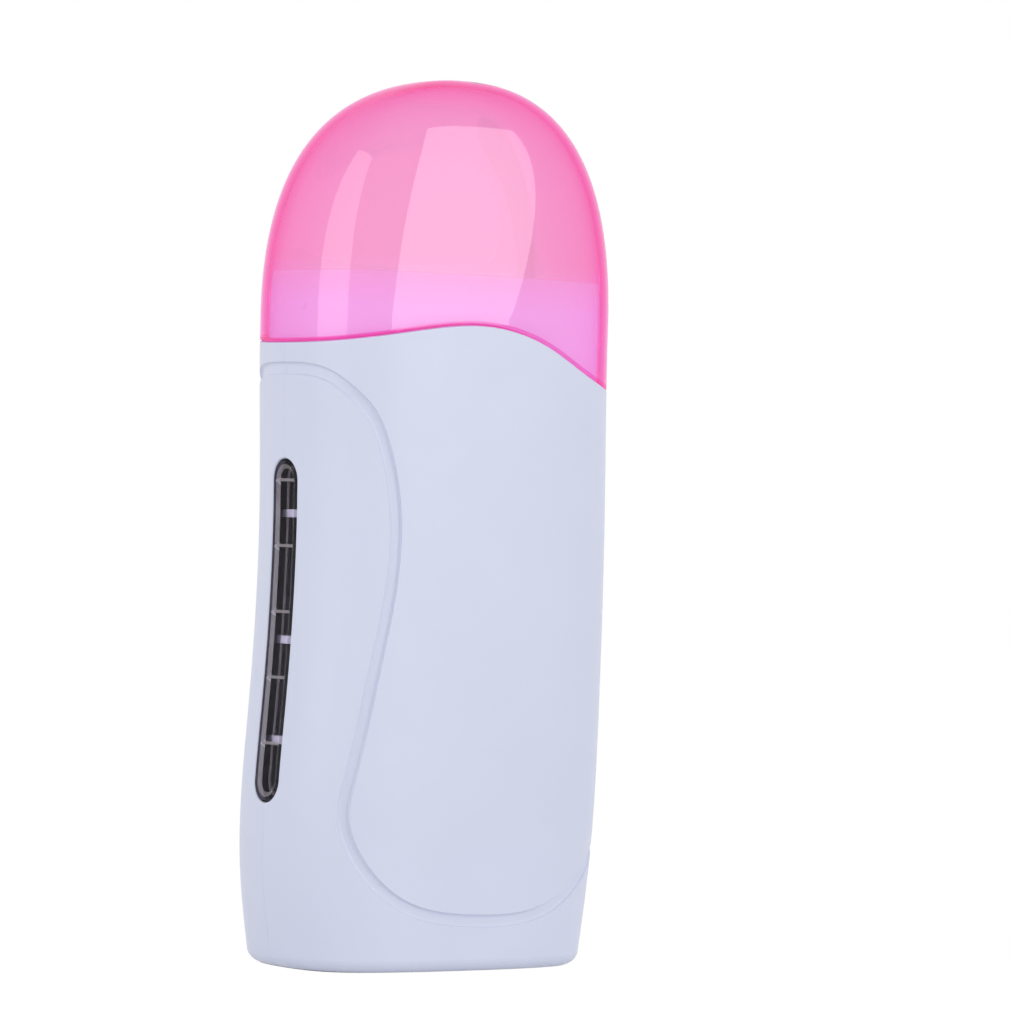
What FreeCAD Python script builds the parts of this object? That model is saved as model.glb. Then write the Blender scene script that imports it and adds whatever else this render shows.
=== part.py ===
"""Roll-on wax heater: a hand-held housing of two halves with a heated cartridge chamber and a lift-off cap.

X runs to the right across the wide front face, Y runs to the rear and Z runs up. The origin is on the
table, under the middle of the housing. All sizes are in millimetres.
"""
import FreeCAD, Part
import math
import os
import Sketcher

Vector = FreeCAD.Vector

# ---------------------------------------------------------------- driving dimensions

SIZES = (
    # overall form: stations from the table up, each with how far its edges tuck in from the full width
    ("body_width", 85.6),
    ("overall_height", 205.0),
    ("foot_left_tuck", 3.3),
    ("foot_right_tuck", 4.5),
    ("heel_height", 22.0),
    ("heel_left_tuck", 0.0),
    ("heel_right_tuck", 1.5),
    ("hip_height", 60.0),
    ("hip_left_tuck", 1.2),
    ("hip_right_tuck", 0.0),
    ("waist_height", 105.0),
    ("waist_left_tuck", 2.7),
    ("waist_right_tuck", 0.3),
    ("shoulder_height", 150.0),
    ("shoulder_left_tuck", 1.5),
    ("shoulder_right_tuck", 1.2),
    ("foot_depth", 48.0),
    ("shoulder_depth", 50.8),
    ("corner_fullness", 1.54),
    ("dome_fullness", 0.976),
    ("dome_lean", 5.0),
    ("foot_round", 3.0),
    # two-part housing
    ("wall", 2.3),
    ("rib", 1.6),
    ("lip_height", 1.0),
    ("lip_wall", 1.0),
    ("lip_clearance", 0.1),
    ("lip_stop", 1.0),
    ("neck_rib_rise", 2.0),
    # collar and cap
    ("rim_height", 158.9),
    ("neck_height", 126.0),
    ("cap_wall", 1.8),
    ("cap_clearance", 0.3),
    ("cap_gap", 0.15),
    ("collar_wall", 1.8),
    ("edge_crest_height", 147.2),
    ("edge_right_height", 133.6),
    ("bead_proud", 0.15),
    ("bead_height", 1.2),
    ("bead_length", 10.0),
    # decorative groove
    ("groove_top", 136.1),
    ("groove_bottom", 11.6),
    ("groove_width", 2.8),
    ("groove_depth", 0.75),
    ("groove_round", 0.7),
    # sight window
    ("window_bottom", 37.5),
    ("window_top", 115.9),
    ("window_width", 10.2),
    ("window_round", 0.45),
    ("pane_clearance", 0.1),
    ("pane_recess", 0.25),
    ("pane_margin", 1.2),
    ("pane_dish_depth", 0.65),
    ("pane_dish_slope", 1.2),
    ("pane_flange", 2.0),
    ("pane_flange_wall", 1.2),
    ("scale_pitch", 15.0),
    ("scale_first", 51.0),
    ("scale_line_width", 0.6),
    ("scale_line_height", 0.35),
    ("window_bar_height", 1.8),
    # cartridge chamber
    ("chamber_width", 56.0),
    ("chamber_depth", 36.0),
    ("chamber_corner", 12.0),
    ("chamber_wall", 1.0),
    ("chamber_bottom", 40.5),
    ("chamber_top", 154.4),
    ("sleeve_clearance", 0.3),
    ("sight_slot_width", 10.0),
    ("sight_slot_bottom", 47.0),
    ("sight_slot_top", 112.0),
    ("sight_slot_end_flat", 1.0),
    ("floor_plate", 2.5),
    ("floor_margin", 1.5),
    ("spigot_height", 2.5),
    ("shelf_opening_margin", 4.0),
    ("wire_opening_length", 8.5),
    ("wire_opening_width", 25.0),
    # mouth ring
    ("mouth_recess", 1.5),
    ("mouth_ring_height", 6.0),
    ("mouth_clearance", 0.2),
    ("mouth_leadin", 2.0),
    ("ledge_width", 2.2),
    # heater stack on the right-hand narrow side of the chamber
    ("heater_base", 44.0),
    ("bar_width", 13.0),
    ("bar_length", 58.0),
    ("bar_wall", 3.5),
    ("land_length", 5.5),
    ("mica_wall", 0.3),
    ("mica_margin", 0.3),
    ("electrode_wall", 0.4),
    ("ptc_wall", 2.5),
    ("ptc_width", 12.0),
    ("ptc_length", 13.5),
    ("stack_play", 0.5),
    ("clamp_wall", 0.8),
    ("clamp_short", 2.0),
    ("tab_length", 4.0),
    ("tab_height", 4.0),
    ("tab_margin", 1.0),
    ("tab_crimp_inset", 1.3),
    ("thermostat_width", 6.6),
    ("thermostat_length", 14.0),
    ("thermostat_round", 0.8),
    ("thermostat_lead_width", 1.0),
    ("thermostat_lead_wall", 0.5),
    ("thermostat_lead_length", 3.0),
    ("thermostat_lead_offset", 1.8),
    ("clip_screw_radius", 1.2),
    ("clip_screw_bite", 2.0),
    ("clip_head_radius", 2.3),
    ("clip_head_height", 1.5),
    ("screw_clearance", 0.05),
    # thermal fuse
    ("fuse_radius", 1.6),
    ("fuse_length", 11.0),
    ("fuse_base", 60.0),
    ("fuse_angle", 30.0),
    ("fuse_gap", 0.2),
    ("fuse_sleeve_wall", 0.5),
    ("fuse_sleeve_clearance", 0.1),
    ("fuse_sleeve_overhang", 4.0),
    ("fuse_lead_radius", 0.5),
    # wiring
    ("wire_radius", 0.8),
    ("thin_wire_radius", 0.55),
    ("wire_bend", 3.0),
    ("crimp_radius", 1.2),
    ("crimp_length", 4.5),
    ("live_rise", 5.1),
    ("live_offset", 2.0),
    ("live_step", 2.6),
    ("live_turn", 10.0),
    ("fuse_lead_in", 4.0),
    ("neutral_rise", 3.3),
    ("neutral_clearance", 1.0),
    ("loop_rise", 4.5),
    ("side_clearance", 2.5),
    ("link_lead", 8.0),
    ("link_turn", 18.0),
    ("heater_turn", 10.0),
    ("tab_lead", 6.0),
    # indicator lamp behind the lower end of the window
    ("lamp_radius", 2.0),
    ("lamp_length", 11.0),
    ("lamp_from_wall", 5.8),
    ("lamp_lead_spread", 1.1),
    ("lamp_lead_radius", 0.3),
    ("lamp_lead_drop", 0.5),
    ("lamp_clearance", 0.05),
    ("lamp_base_gap", 1.2),
    ("lamp_opening_width", 4.0),
    ("lamp_wire_rise", 6.5),
    ("lamp_wire_inset", 1.2),
    ("lamp_wire_turn", 4.0),
    ("lamp_wire_drop", 1.0),
    ("holder_width", 7.0),
    ("holder_height", 4.0),
    ("holder_round", 1.0),
    ("resistor_radius", 1.4),
    ("resistor_length", 6.5),
    ("resistor_cap_length", 1.5),
    ("resistor_round", 0.4),
    # mains inlet for a two-pole figure-of-eight connector
    ("pin_radius", 1.18),
    ("pin_pitch", 8.6),
    ("pin_tip", 1.6),
    ("socket_radius", 4.1),
    ("socket_waist", 6.4),
    ("socket_depth", 11.0),
    ("inlet_width", 20.4),
    ("inlet_depth", 12.4),
    ("inlet_height", 18.0),
    ("inlet_recess", 0.4),
    ("inlet_flange", 2.0),
    ("inlet_clearance", 0.15),
    ("keeper_length", 28.0),
    ("pin_root_radius", 1.6),
    ("pin_chamfer", 0.4),
    ("pin_seat", 0.02),
    ("lug_width", 4.8),
    ("lug_wall", 0.8),
    ("lug_height", 5.0),
    # housing screws, driven from the rear
    ("screw_radius", 1.35),
    ("screw_head_radius", 2.7),
    ("screw_head_height", 1.8),
    ("screw_head_clearance", 0.2),
    ("screw_reach", 10.0),
    ("screw_tip_room", 1.0),
    ("screw_seat", 9.0),
    ("boss_wall", 1.5),
    ("low_screw_x", 24.0),
    ("low_screw_z", 15.0),
    ("high_screw_x", 33.0),
    ("high_screw_z", 121.5),
)

doc = FreeCAD.newDocument("roll_on_wax_heater")
sheet = doc.addObject("Spreadsheet::Sheet", "Sizes")
for row, (alias, value) in enumerate(SIZES, start=1):
    sheet.set(f"A{row}", alias)
    sheet.set(f"B{row}", str(value))
    sheet.setAlias(f"B{row}", alias)
doc.recompute()


class Sizes:
    """Reads a driving dimension from the sheet by its alias."""

    def __getattr__(self, alias):
        return float(sheet.get(alias))


size = Sizes()

FAR = 120.0  # reach of a cutting block, past every face of the housing
OVERCUT = 1.0  # how far a cutter runs past what it cuts
TOUCH = 0.01  # distance under which two places count as one
GROOVE_STATIONS = 40  # points at which the groove's sides are offset from its line
DISH_OVERRUN = 0.2  # how far the pane's slope is carried past the pane's face, as a share of its run
BITE = 0.4  # how far a rib or boss runs into the wall that carries it
ARC_SHARE = 0.48  # most of a wire's run that the arc at one of its ends may take
SCREW_RIM = 0.45  # straight part of a screw head, as a share of its height
SCREW_CROWN = 0.72  # flat top of a screw head, as a share of its radius
SCREW_TIP = 0.5  # flat end of a screw, as a share of its radius
RECESS_ACROSS = 1.2  # driver recess across its arms, as a share of the head's radius
RECESS_DEPTH = 0.55  # driver recess, as a share of the head's height
RECESS_ARM = 0.25  # width of one arm, as a share of the recess across its arms
LAMP_CROWN = 0.8  # rounding of the lamp's top, as a share of its radius
RESISTOR_END = 0.8  # flat end of the resistor, as a share of its radius
RESISTOR_WAIST = 0.85  # thin middle of the resistor, as a share of its radius

# S-shaped joint between cap and housing: share of the half width, share of the drop from crest to right
EDGE_LINE = (
    (-1.40, 0.50),
    (-0.96, 0.64),
    (-0.51, 0.87),
    (-0.02, 1.00),
    (0.35, 0.72),
    (0.62, 0.31),
    (0.86, 0.05),
    (1.40, -0.10),
)

# decorative groove on each face: share of the half width, share of the groove's height
GROOVE_LINE = (
    (-1.15, 1.000),
    (-0.94, 1.000),
    (-0.85, 0.973),
    (-0.72, 0.921),
    (-0.65, 0.867),
    (-0.57, 0.705),
    (-0.66, 0.459),
    (-0.77, 0.265),
    (-0.80, 0.186),
    (-0.71, 0.105),
    (-0.46, 0.030),
    (0.00, 0.000),
    (0.46, 0.016),
    (0.67, 0.055),
    (0.86, 0.115),
    (1.15, 0.230),
)

# heights of the three wide bars that cross the sight window behind the pane
WINDOW_BARS = (51.6, 74.5, 103.4)


# ---------------------------------------------------------------- the housing's form

def half_depth(height):
    """Half of the housing's depth, which grows evenly from the table to the shoulder."""
    share = height / size.shoulder_height
    return 0.5 * (size.foot_depth + (size.shoulder_depth - size.foot_depth) * share)


def outline():
    """Spline through the stations: its X is the left edge, its Y the right edge and its Z the height."""
    half = size.body_width / 2
    stations = [
        Vector(size.foot_left_tuck - half, half - size.foot_right_tuck, 0),
        Vector(size.heel_left_tuck - half, half - size.heel_right_tuck, size.heel_height),
        Vector(size.hip_left_tuck - half, half - size.hip_right_tuck, size.hip_height),
        Vector(size.waist_left_tuck - half, half - size.waist_right_tuck, size.waist_height),
        Vector(size.shoulder_left_tuck - half, half - size.shoulder_right_tuck, size.shoulder_height),
    ]
    upright = Vector(0, 0, 1)
    spline = Part.BSplineCurve()
    spline.interpolate(
        Points=stations,
        Tangents=[upright] * len(stations),
        TangentFlags=[False] * (len(stations) - 1) + [True],
    )
    return spline


def corner(edge, middle, depth, height):
    """Three poles of a quarter of a level section: side, corner, face."""
    return [Vector(edge, 0, height), Vector(edge, depth, height), Vector(middle, depth, height)]


def form(inset):
    """Solid of the whole closed heater, with every surface moved inwards by inset."""
    spline = outline()
    top = size.overall_height - inset
    corner_weights = (1.0, size.corner_fullness, 1.0)
    faces = []
    foot_edges = []
    for on_left in (True, False):
        for toward in (-1, 1):
            columns = []
            for pole in spline.getPoles():
                middle = (pole.x + pole.y) / 2
                edge = pole.x + inset if on_left else pole.y - inset
                columns.append(corner(edge, middle, toward * (half_depth(pole.z) - inset), pole.z))
            wall_poles = [[column[i] for column in columns] for i in range(3)]
            wall = Part.BSplineSurface()
            wall.buildFromPolesMultsKnots(
                wall_poles,
                [3, 3],
                spline.getMultiplicities(),
                [0.0, 1.0],
                spline.getKnots(),
                False,
                False,
                2,
                spline.Degree,
                [[weight] * len(columns) for weight in corner_weights],
            )
            faces.append(wall.toShape())
            foot_edges.append(wall.vIso(0.0).toShape())
            shoulder = columns[-1]
            apex = Vector(size.dome_lean, 0, top)
            dome = Part.BezierSurface()
            dome.increase(2, 2)
            for i, weight in enumerate(corner_weights):
                rows = (shoulder[i], Vector(shoulder[i].x, shoulder[i].y, top), apex)
                for j, (pole, rise) in enumerate(zip(rows, (1.0, size.dome_fullness, 1.0))):
                    dome.setPole(i + 1, j + 1, pole, weight * rise)
            faces.append(dome.toShape())
    faces.append(Part.Face(Part.Wire(Part.__sortEdges__(foot_edges))))
    shell = Part.makeShell(faces)
    shell.sewShape()
    solid = Part.makeSolid(shell)
    if solid.Volume < 0:
        solid.reverse()
    return solid


def block(x_low, x_high, y_low, y_high, z_low, z_high):
    """A box between two corners."""
    return Part.makeBox(x_high - x_low, y_high - y_low, z_high - z_low, Vector(x_low, y_low, z_low))


def levels(z_low, z_high):
    """Everything between two heights."""
    return block(-FAR, FAR, -FAR, FAR, z_low, z_high)


def rod(start, end, radius):
    """A cylinder from one point to another."""
    return Part.makeCylinder(radius, (end - start).Length, start, end - start)


def line_points(shares, low, high):
    """Points in the X-Z plane from shares of the half width and of a height range."""
    half = size.body_width / 2
    return [Vector(half * across, 0, low + (high - low) * up) for across, up in shares]


def below_edge(lift):
    """Everything below the S-shaped joint line, raised by lift."""
    points = line_points(EDGE_LINE, size.edge_right_height + lift, size.edge_crest_height + lift)
    edge = Part.BSplineCurve()
    edge.interpolate(Points=points)
    first = points[0]
    last = points[-1]
    floor_left = Vector(first.x, 0, -OVERCUT)
    floor_right = Vector(last.x, 0, -OVERCUT)
    wire = Part.Wire([
        edge.toShape(),
        Part.makeLine(last, floor_right),
        Part.makeLine(floor_right, floor_left),
        Part.makeLine(floor_left, first),
    ])
    face = Part.Face(wire)
    face.translate(Vector(0, -FAR, 0))
    return face.extrude(Vector(0, 2 * FAR, 0))


def stadium(width, z_low, z_high):
    """A window-shaped prism along X through the left-hand wall, with half-round ends."""
    radius = width / 2
    left = -FAR
    reach = FAR - size.chamber_width / 2
    prism = block(left, left + reach, -radius, radius, z_low + radius, z_high - radius)
    for z in (z_low + radius, z_high - radius):
        prism = prism.fuse(rod(Vector(left, 0, z), Vector(left + reach, 0, z), radius))
    return prism.removeSplitter()


def rounded_prism(width, depth, radius, z_low, z_high):
    """An upright prism with a rounded-rectangle section, centred on the chamber's axis."""
    prism = block(-width / 2, width / 2, -depth / 2, depth / 2, z_low, z_high)
    upright = [edge for edge in prism.Edges if edge.Vertexes[0].X == edge.Vertexes[1].X
               and edge.Vertexes[0].Y == edge.Vertexes[1].Y]
    return prism.makeFillet(radius, upright)


def chamber_prism(offset, z_low, z_high):
    """The chamber's outline grown by offset."""
    return rounded_prism(
        size.chamber_width + 2 * offset,
        size.chamber_depth + 2 * offset,
        size.chamber_corner + offset,
        z_low,
        z_high,
    )


# ---------------------------------------------------------------- shared places

collar_inset = size.cap_wall + size.cap_clearance
neck_inset = collar_inset + size.collar_wall
pane_back = size.wall + size.pane_flange_wall
shelf_top = size.chamber_bottom - size.floor_plate
shelf_low = shelf_top - size.rib
mouth_top = size.rim_height - size.mouth_recess
mouth_low = mouth_top - size.mouth_ring_height
stack_wall = 2 * size.mica_wall + 2 * size.electrode_wall + size.ptc_wall
bar_face = size.chamber_width / 2
clamp_face = bar_face + size.bar_wall + stack_wall
pocket_low = size.heater_base + size.land_length
pocket_high = pocket_low + 2 * size.ptc_length + 3 * size.stack_play
clamp_screw_heights = (
    size.heater_base + size.land_length / 2,
    pocket_high + size.land_length / 2,
)
thermostat_low = pocket_high + size.land_length + size.stack_play
screw_places = [
    (side * x, z)
    for x, z in ((size.low_screw_x, size.low_screw_z), (size.high_screw_x, size.high_screw_z))
    for side in (-1, 1)
]


def at_level(edge, height):
    """Whether an edge lies at one height."""
    box = edge.BoundBox
    return abs(box.ZMin - height) < TOUCH and abs(box.ZMax - height) < TOUCH


def place_feature(label, shape):
    """Adds a sculpted piece to the document as a feature of its own."""
    feature = doc.addObject("Part::Feature", label)
    feature.Label = label
    feature.Shape = shape
    feature.Placement = FreeCAD.Placement()
    return feature


# ---------------------------------------------------------------- housing shells

def groove_strip(width):
    """Prism along Y over a band of the given width that follows the decorative line."""
    line = Part.BSplineCurve()
    line.interpolate(Points=line_points(GROOVE_LINE, size.groove_bottom, size.groove_top))
    upper = []
    lower = []
    for point in line.toShape().discretize(Number=GROOVE_STATIONS):
        along = line.tangent(line.parameter(point))[0]
        aside = Vector(-along.z, 0, along.x) * (width / 2)
        upper.append(point + aside)
        lower.append(point - aside)
    edges = []
    for points in (upper, lower):
        side = Part.BSplineCurve()
        side.interpolate(Points=points)
        edges.append(side.toShape())
    edges.append(Part.makeLine(upper[0], lower[0]))
    edges.append(Part.makeLine(upper[-1], lower[-1]))
    band = Part.Face(Part.Wire(Part.__sortEdges__(edges)))
    band.translate(Vector(0, -FAR, 0))
    return band.extrude(Vector(0, 2 * FAR, 0))


def outer_edges(faces):
    """Edges of a group of faces that bound the group."""
    edges = []
    for face in faces:
        others = [other for other in faces if not other.isSame(face)]
        for edge in face.Edges:
            if not any(edge.isSame(shared) for other in others for shared in other.Edges):
                edges.append(edge)
    return edges


def faces_on(shape, solid):
    """Faces of a shape that lie on the skin of a solid."""
    found = []
    for face in shape.Faces:
        u_low, u_high, v_low, v_high = face.ParameterRange
        middle = face.valueAt((u_low + u_high) / 2, (v_low + v_high) / 2)
        if solid.Shells[0].distToShape(Part.Vertex(middle))[0] < TOUCH:
            found.append(face)
    return found


def groove_cutter():
    """The decorative groove round both faces: a band under the skin with its two lower edges rounded."""
    skin = form(-OVERCUT).common(levels(size.foot_round, size.edge_crest_height))
    floor = form(size.groove_depth)
    band = skin.cut(floor).common(groove_strip(size.groove_width))
    return band.makeFillet(size.groove_round, outer_edges(faces_on(band, floor)))


def housing_skin():
    """Both halves in one: the skin with its window slot, the collar with its beads, and the hollow."""
    outer = form(0)
    foot = [edge for edge in outer.Edges if at_level(edge, 0)]
    skirt = outer.makeFillet(size.foot_round, foot).common(below_edge(0))
    collar = form(collar_inset).common(levels(size.neck_height, size.rim_height))
    bead_top = size.shoulder_height + size.bead_height
    beads = form(collar_inset - size.bead_proud).common(
        block(-FAR, FAR, -size.bead_length / 2, size.bead_length / 2, size.shoulder_height, bead_top))
    lower_hollow = form(size.wall).common(levels(size.wall, size.neck_height))
    upper_hollow = form(neck_inset).common(levels(size.neck_height - OVERCUT, size.rim_height + OVERCUT))
    skin = skirt.fuse([collar, beads]).cut(lower_hollow.fuse(upper_hollow))
    skin = skin.cut(stadium(size.window_width, size.window_bottom, size.window_top))
    return skin.makeFillet(size.window_round, window_rim(skin, outer))


def window_rim(skin, outer):
    """Edges of the window slot where it breaks through the outer form."""
    rim = []
    for edge in skin.Edges:
        middle = edge.valueAt((edge.FirstParameter + edge.LastParameter) / 2)
        in_slot = (
            middle.x < 0
            and abs(middle.y) < size.window_width / 2 + TOUCH
            and size.window_bottom - TOUCH < middle.z < size.window_top + TOUCH
        )
        if in_slot and outer.Shells[0].distToShape(Part.Vertex(middle))[0] < TOUCH:
            rim.append(edge)
    return rim


def inner_ribs():
    """Ribs that carry the chamber, the mouth ring, the inlet and the screws, before they meet the walls."""
    low = size.wall - BITE
    inner = form(low)
    upper = form(neck_inset - BITE)
    sleeve = chamber_prism(size.sleeve_clearance, size.chamber_bottom, size.rim_height)
    pane_room = stadium(
        size.window_width + 2 * (size.pane_flange + size.sleeve_clearance),
        size.window_bottom - size.pane_flange - size.sleeve_clearance,
        size.window_top + size.pane_flange + size.sleeve_clearance,
    ).cut(form(pane_back + size.sleeve_clearance))

    shelf = inner.common(levels(shelf_low, shelf_top))
    hole_low = shelf_low - OVERCUT
    hole_top = shelf_top + OVERCUT
    shelf = shelf.cut(chamber_prism(-size.shelf_opening_margin, hole_low, hole_top))
    near_x = size.chamber_width / 2 + size.floor_margin + size.sleeve_clearance
    far_x = near_x + size.wire_opening_length
    wires_y = size.wire_opening_width / 2
    lamp_reach = size.lamp_lead_spread + 2 * size.thin_wire_radius
    lamp_y = size.lamp_opening_width / 2
    shelf = shelf.cut([
        block(near_x, far_x, -wires_y, wires_y, hole_low, hole_top),
        block(lamp_x - lamp_reach, lamp_x + lamp_reach, -lamp_y, lamp_y, hole_low, hole_top),
    ])

    neck_rib_low = size.neck_height + size.neck_rib_rise
    neck_rib = upper.common(levels(neck_rib_low, neck_rib_low + size.rib)).cut(sleeve)
    ledge_top = mouth_low - size.sleeve_clearance / 2
    ledge = upper.common(levels(ledge_top - size.rib, ledge_top))
    ledge = ledge.cut(form(neck_inset + size.ledge_width))

    ribs = [shelf, neck_rib, ledge]
    for height in WINDOW_BARS:
        bar = block(
            -FAR,
            -size.chamber_width / 4,
            -size.window_width,
            size.window_width,
            height - size.window_bar_height / 2,
            height + size.window_bar_height / 2,
        )
        ribs.append(inner.common(bar).cut(sleeve))
    keeper_low = size.wall + size.inlet_flange + size.inlet_clearance
    keeper_x = size.keeper_length / 2
    for side in (-1, 1):
        near = side * (size.inlet_depth / 2 + size.inlet_clearance)
        y_low, y_high = sorted((near, side * FAR))
        keeper = block(-keeper_x, keeper_x, y_low, y_high, keeper_low, keeper_low + size.rib)
        ribs.append(inner.common(keeper))
    return [rib.cut(pane_room) for rib in ribs]


def screw_bosses(side):
    """Four bosses of one half: plain on the front half, counterbored from outside on the rear half."""
    hole = size.screw_radius + size.screw_clearance
    head_room = size.screw_head_radius + size.screw_head_clearance
    outer_radius = head_room + size.boss_wall if side > 0 else hole + size.boss_wall
    hole_end = -size.screw_reach - size.screw_tip_room
    trim = form(size.wall - BITE)
    bosses = []
    holes = []
    for x, z in screw_places:
        root = Vector(x, 0, z)
        bosses.append(rod(root, Vector(x, side * FAR, z), outer_radius).common(trim))
        if side > 0:
            holes.append(rod(Vector(x, -OVERCUT, z), Vector(x, FAR, z), hole))
            holes.append(rod(Vector(x, size.screw_seat, z), Vector(x, FAR, z), head_room))
        else:
            holes.append(rod(Vector(x, OVERCUT, z), Vector(x, hole_end, z), hole))
    return bosses, holes


def lip_ring(outer_inset, inner_inset, reach):
    """Ring along the parting face, between two insets: the tongue of one half or its seat in the other."""
    inner = form(inner_inset)
    ring = form(outer_inset).cut(inner)
    ring = ring.common(block(-FAR, FAR, 0, reach, outer_inset, size.neck_height - size.lip_stop))
    bottom = inner.common(block(-FAR, FAR, 0, reach, outer_inset, inner_inset))
    return ring.fuse(bottom).removeSplitter()


def make_shells():
    """Front and rear shells."""
    skin = housing_skin()
    ribs = inner_ribs()
    inlet_hole = rounded_prism(
        size.inlet_width + 2 * size.inlet_clearance,
        size.inlet_depth + 2 * size.inlet_clearance,
        size.inlet_depth / 2 + size.inlet_clearance - TOUCH,
        -OVERCUT,
        size.wall + OVERCUT,
    )
    groove = groove_cutter()
    window_stop = size.pane_flange + size.lip_stop
    clear_window = stadium(
        size.window_width + 2 * window_stop,
        size.window_bottom - window_stop,
        size.window_top + window_stop,
    )
    inlet_stop = size.inlet_width / 2 + size.inlet_flange + size.lip_stop
    clear_inlet = block(-inlet_stop, inlet_stop, -FAR, FAR, -OVERCUT, size.wall + OVERCUT)
    half_lip = size.wall - size.lip_wall
    tongue = lip_ring(half_lip + size.lip_clearance, size.wall, size.lip_height)
    tongue = tongue.cut([clear_window, clear_inlet])
    seat = lip_ring(half_lip, size.wall + TOUCH, size.lip_height + size.lip_clearance)
    seat = seat.cut([clear_window, clear_inlet])

    shells = {}
    for side in (-1, 1):
        y_low = -FAR if side < 0 else 0
        room = block(-FAR, FAR, y_low, y_low + FAR, -OVERCUT, size.overall_height)
        bosses, holes = screw_bosses(side)
        half = skin.common(room)
        half = half.fuse([rib.common(room) for rib in ribs] + bosses)
        half = half.cut([inlet_hole, groove] + holes)
        if side < 0:
            half = half.fuse(tongue)
        else:
            half = half.cut(seat)
        shells[side] = half
    return shells[-1], shells[1]


# ---------------------------------------------------------------- cap, pane and mouth ring

def make_cap():
    """Domed cap: the form's skin above the S-line, less the same form inset by the cap's wall."""
    return form(0).cut([form(size.cap_wall), below_edge(size.cap_gap)])


def pane_dish():
    """Cutter for the pane's dished middle, sloped all round, made as a half and its mirror image."""
    floor = form(size.pane_recess + size.pane_dish_depth)
    half = pane_middle().cut(floor).common(block(-FAR, 0, 0, FAR, 0, size.overall_height)).Solids[0]
    rim = [edge for edge in outer_edges(faces_on(half, floor)) if edge.BoundBox.YMax > TOUCH]
    overrun = 1 + DISH_OVERRUN
    half = half.makeChamfer(size.pane_dish_slope * overrun, size.pane_dish_depth * overrun, rim)
    return half.fuse(half.mirror(Vector(), Vector(0, 1, 0))).removeSplitter()


def pane_middle():
    """Prism through the pane, out to where the dish's slope ends when it is carried past the pane's face."""
    margin = size.pane_margin - size.pane_dish_slope * DISH_OVERRUN
    return stadium(size.window_width - 2 * margin, size.window_bottom + margin, size.window_top - margin)


def make_pane():
    """Window pane: a dished middle with raised scale lines, and a flange behind the slot."""
    gap = size.pane_clearance
    low = size.window_bottom
    high = size.window_top
    back = form(pane_back)
    neck = stadium(size.window_width - 2 * gap, low + gap, high - gap)
    flange = stadium(
        size.window_width + 2 * size.pane_flange, low - size.pane_flange, high + size.pane_flange)
    plate = neck.common(form(size.pane_recess)).cut([back, pane_dish()])
    rim = flange.common(form(size.wall + gap)).cut(back)
    line_top = form(size.pane_recess + size.pane_dish_depth - size.scale_line_height)
    lines = []
    height = size.scale_first
    while height < high - size.window_width / 2 + size.scale_line_width:
        half_line = size.scale_line_width / 2
        line = pane_middle().common(levels(height - half_line, height + half_line))
        lines.append(line.common(line_top).cut(back))
        height += size.scale_pitch
    return plate.fuse([rim] + lines).removeSplitter()


def make_mouth_ring():
    """Ring that closes the collar round the chamber's mouth and holds the chamber's top edge."""
    ring = form(neck_inset + size.mouth_clearance).common(levels(mouth_low, mouth_top))
    opening = chamber_prism(-size.chamber_wall, mouth_low - OVERCUT, mouth_top + OVERCUT)
    seat = chamber_prism(
        size.sleeve_clearance, mouth_low - OVERCUT, size.chamber_top + size.sleeve_clearance / 2)
    ring = ring.cut([opening, seat])
    opening_reach = size.chamber_width / 2 - size.chamber_wall + TOUCH
    rims = [edge for edge in ring.Edges
            if at_level(edge, mouth_top)
            and max(abs(edge.BoundBox.XMin), abs(edge.BoundBox.XMax)) < opening_reach]
    return ring.makeChamfer(size.mouth_leadin, rims)


# ---------------------------------------------------------------- sketch helpers

def new_body(label):
    """A PartDesign body with its own label."""
    body = doc.addObject("PartDesign::Body", label)
    body.Label = label
    return body


def sketch_on(body, role, name, offset=None):
    """A sketch on one of the body's own origin planes, moved along the plane's normal by an expression."""
    plane = next(item for item in body.Origin.OriginFeatures if item.Role == role)
    sketch = body.newObject("Sketcher::SketchObject", f"{body.Label}_{name}")
    sketch.AttachmentSupport = [(plane, "")]
    sketch.MapMode = "FlatFace"
    if offset is not None:
        sketch.setExpression(".AttachmentOffset.Base.z", offset)
    doc.recompute()
    return sketch


def bind(sketch, constraint, name, expression):
    """Adds a named constraint and binds it to the sheet."""
    index = sketch.addConstraint(constraint)
    sketch.renameConstraint(index, name)
    sketch.setExpression(f"Constraints.{name}", expression)


def evaluate(expression):
    """Present value of an expression over the sheet, for a sketch's first guess."""
    return float(sheet.evalExpression(expression.replace("Sizes.", "")))


def rectangle(sketch, name, left, bottom, width, height):
    """A rectangle whose corner and size are expressions."""
    x = evaluate(left)
    y = evaluate(bottom)
    w = evaluate(width)
    h = evaluate(height)
    corners = [Vector(x, y, 0), Vector(x + w, y, 0), Vector(x + w, y + h, 0), Vector(x, y + h, 0)]
    first = sketch.GeometryCount
    for i in range(4):
        sketch.addGeometry(Part.LineSegment(corners[i], corners[(i + 1) % 4]), False)
    for i in range(4):
        sketch.addConstraint(Sketcher.Constraint("Coincident", first + i, 2, first + (i + 1) % 4, 1))
    for i in (0, 2):
        sketch.addConstraint(Sketcher.Constraint("Horizontal", first + i))
    for i in (1, 3):
        sketch.addConstraint(Sketcher.Constraint("Vertical", first + i))
    bind(sketch, Sketcher.Constraint("DistanceX", -1, 1, first, 1, x), f"{name}_left", left)
    bind(sketch, Sketcher.Constraint("DistanceY", -1, 1, first, 1, y), f"{name}_bottom", bottom)
    bind(sketch, Sketcher.Constraint("DistanceX", first, 1, first, 2, w), f"{name}_width", width)
    bind(sketch, Sketcher.Constraint("DistanceY", first + 1, 1, first + 1, 2, h), f"{name}_height", height)


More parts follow.
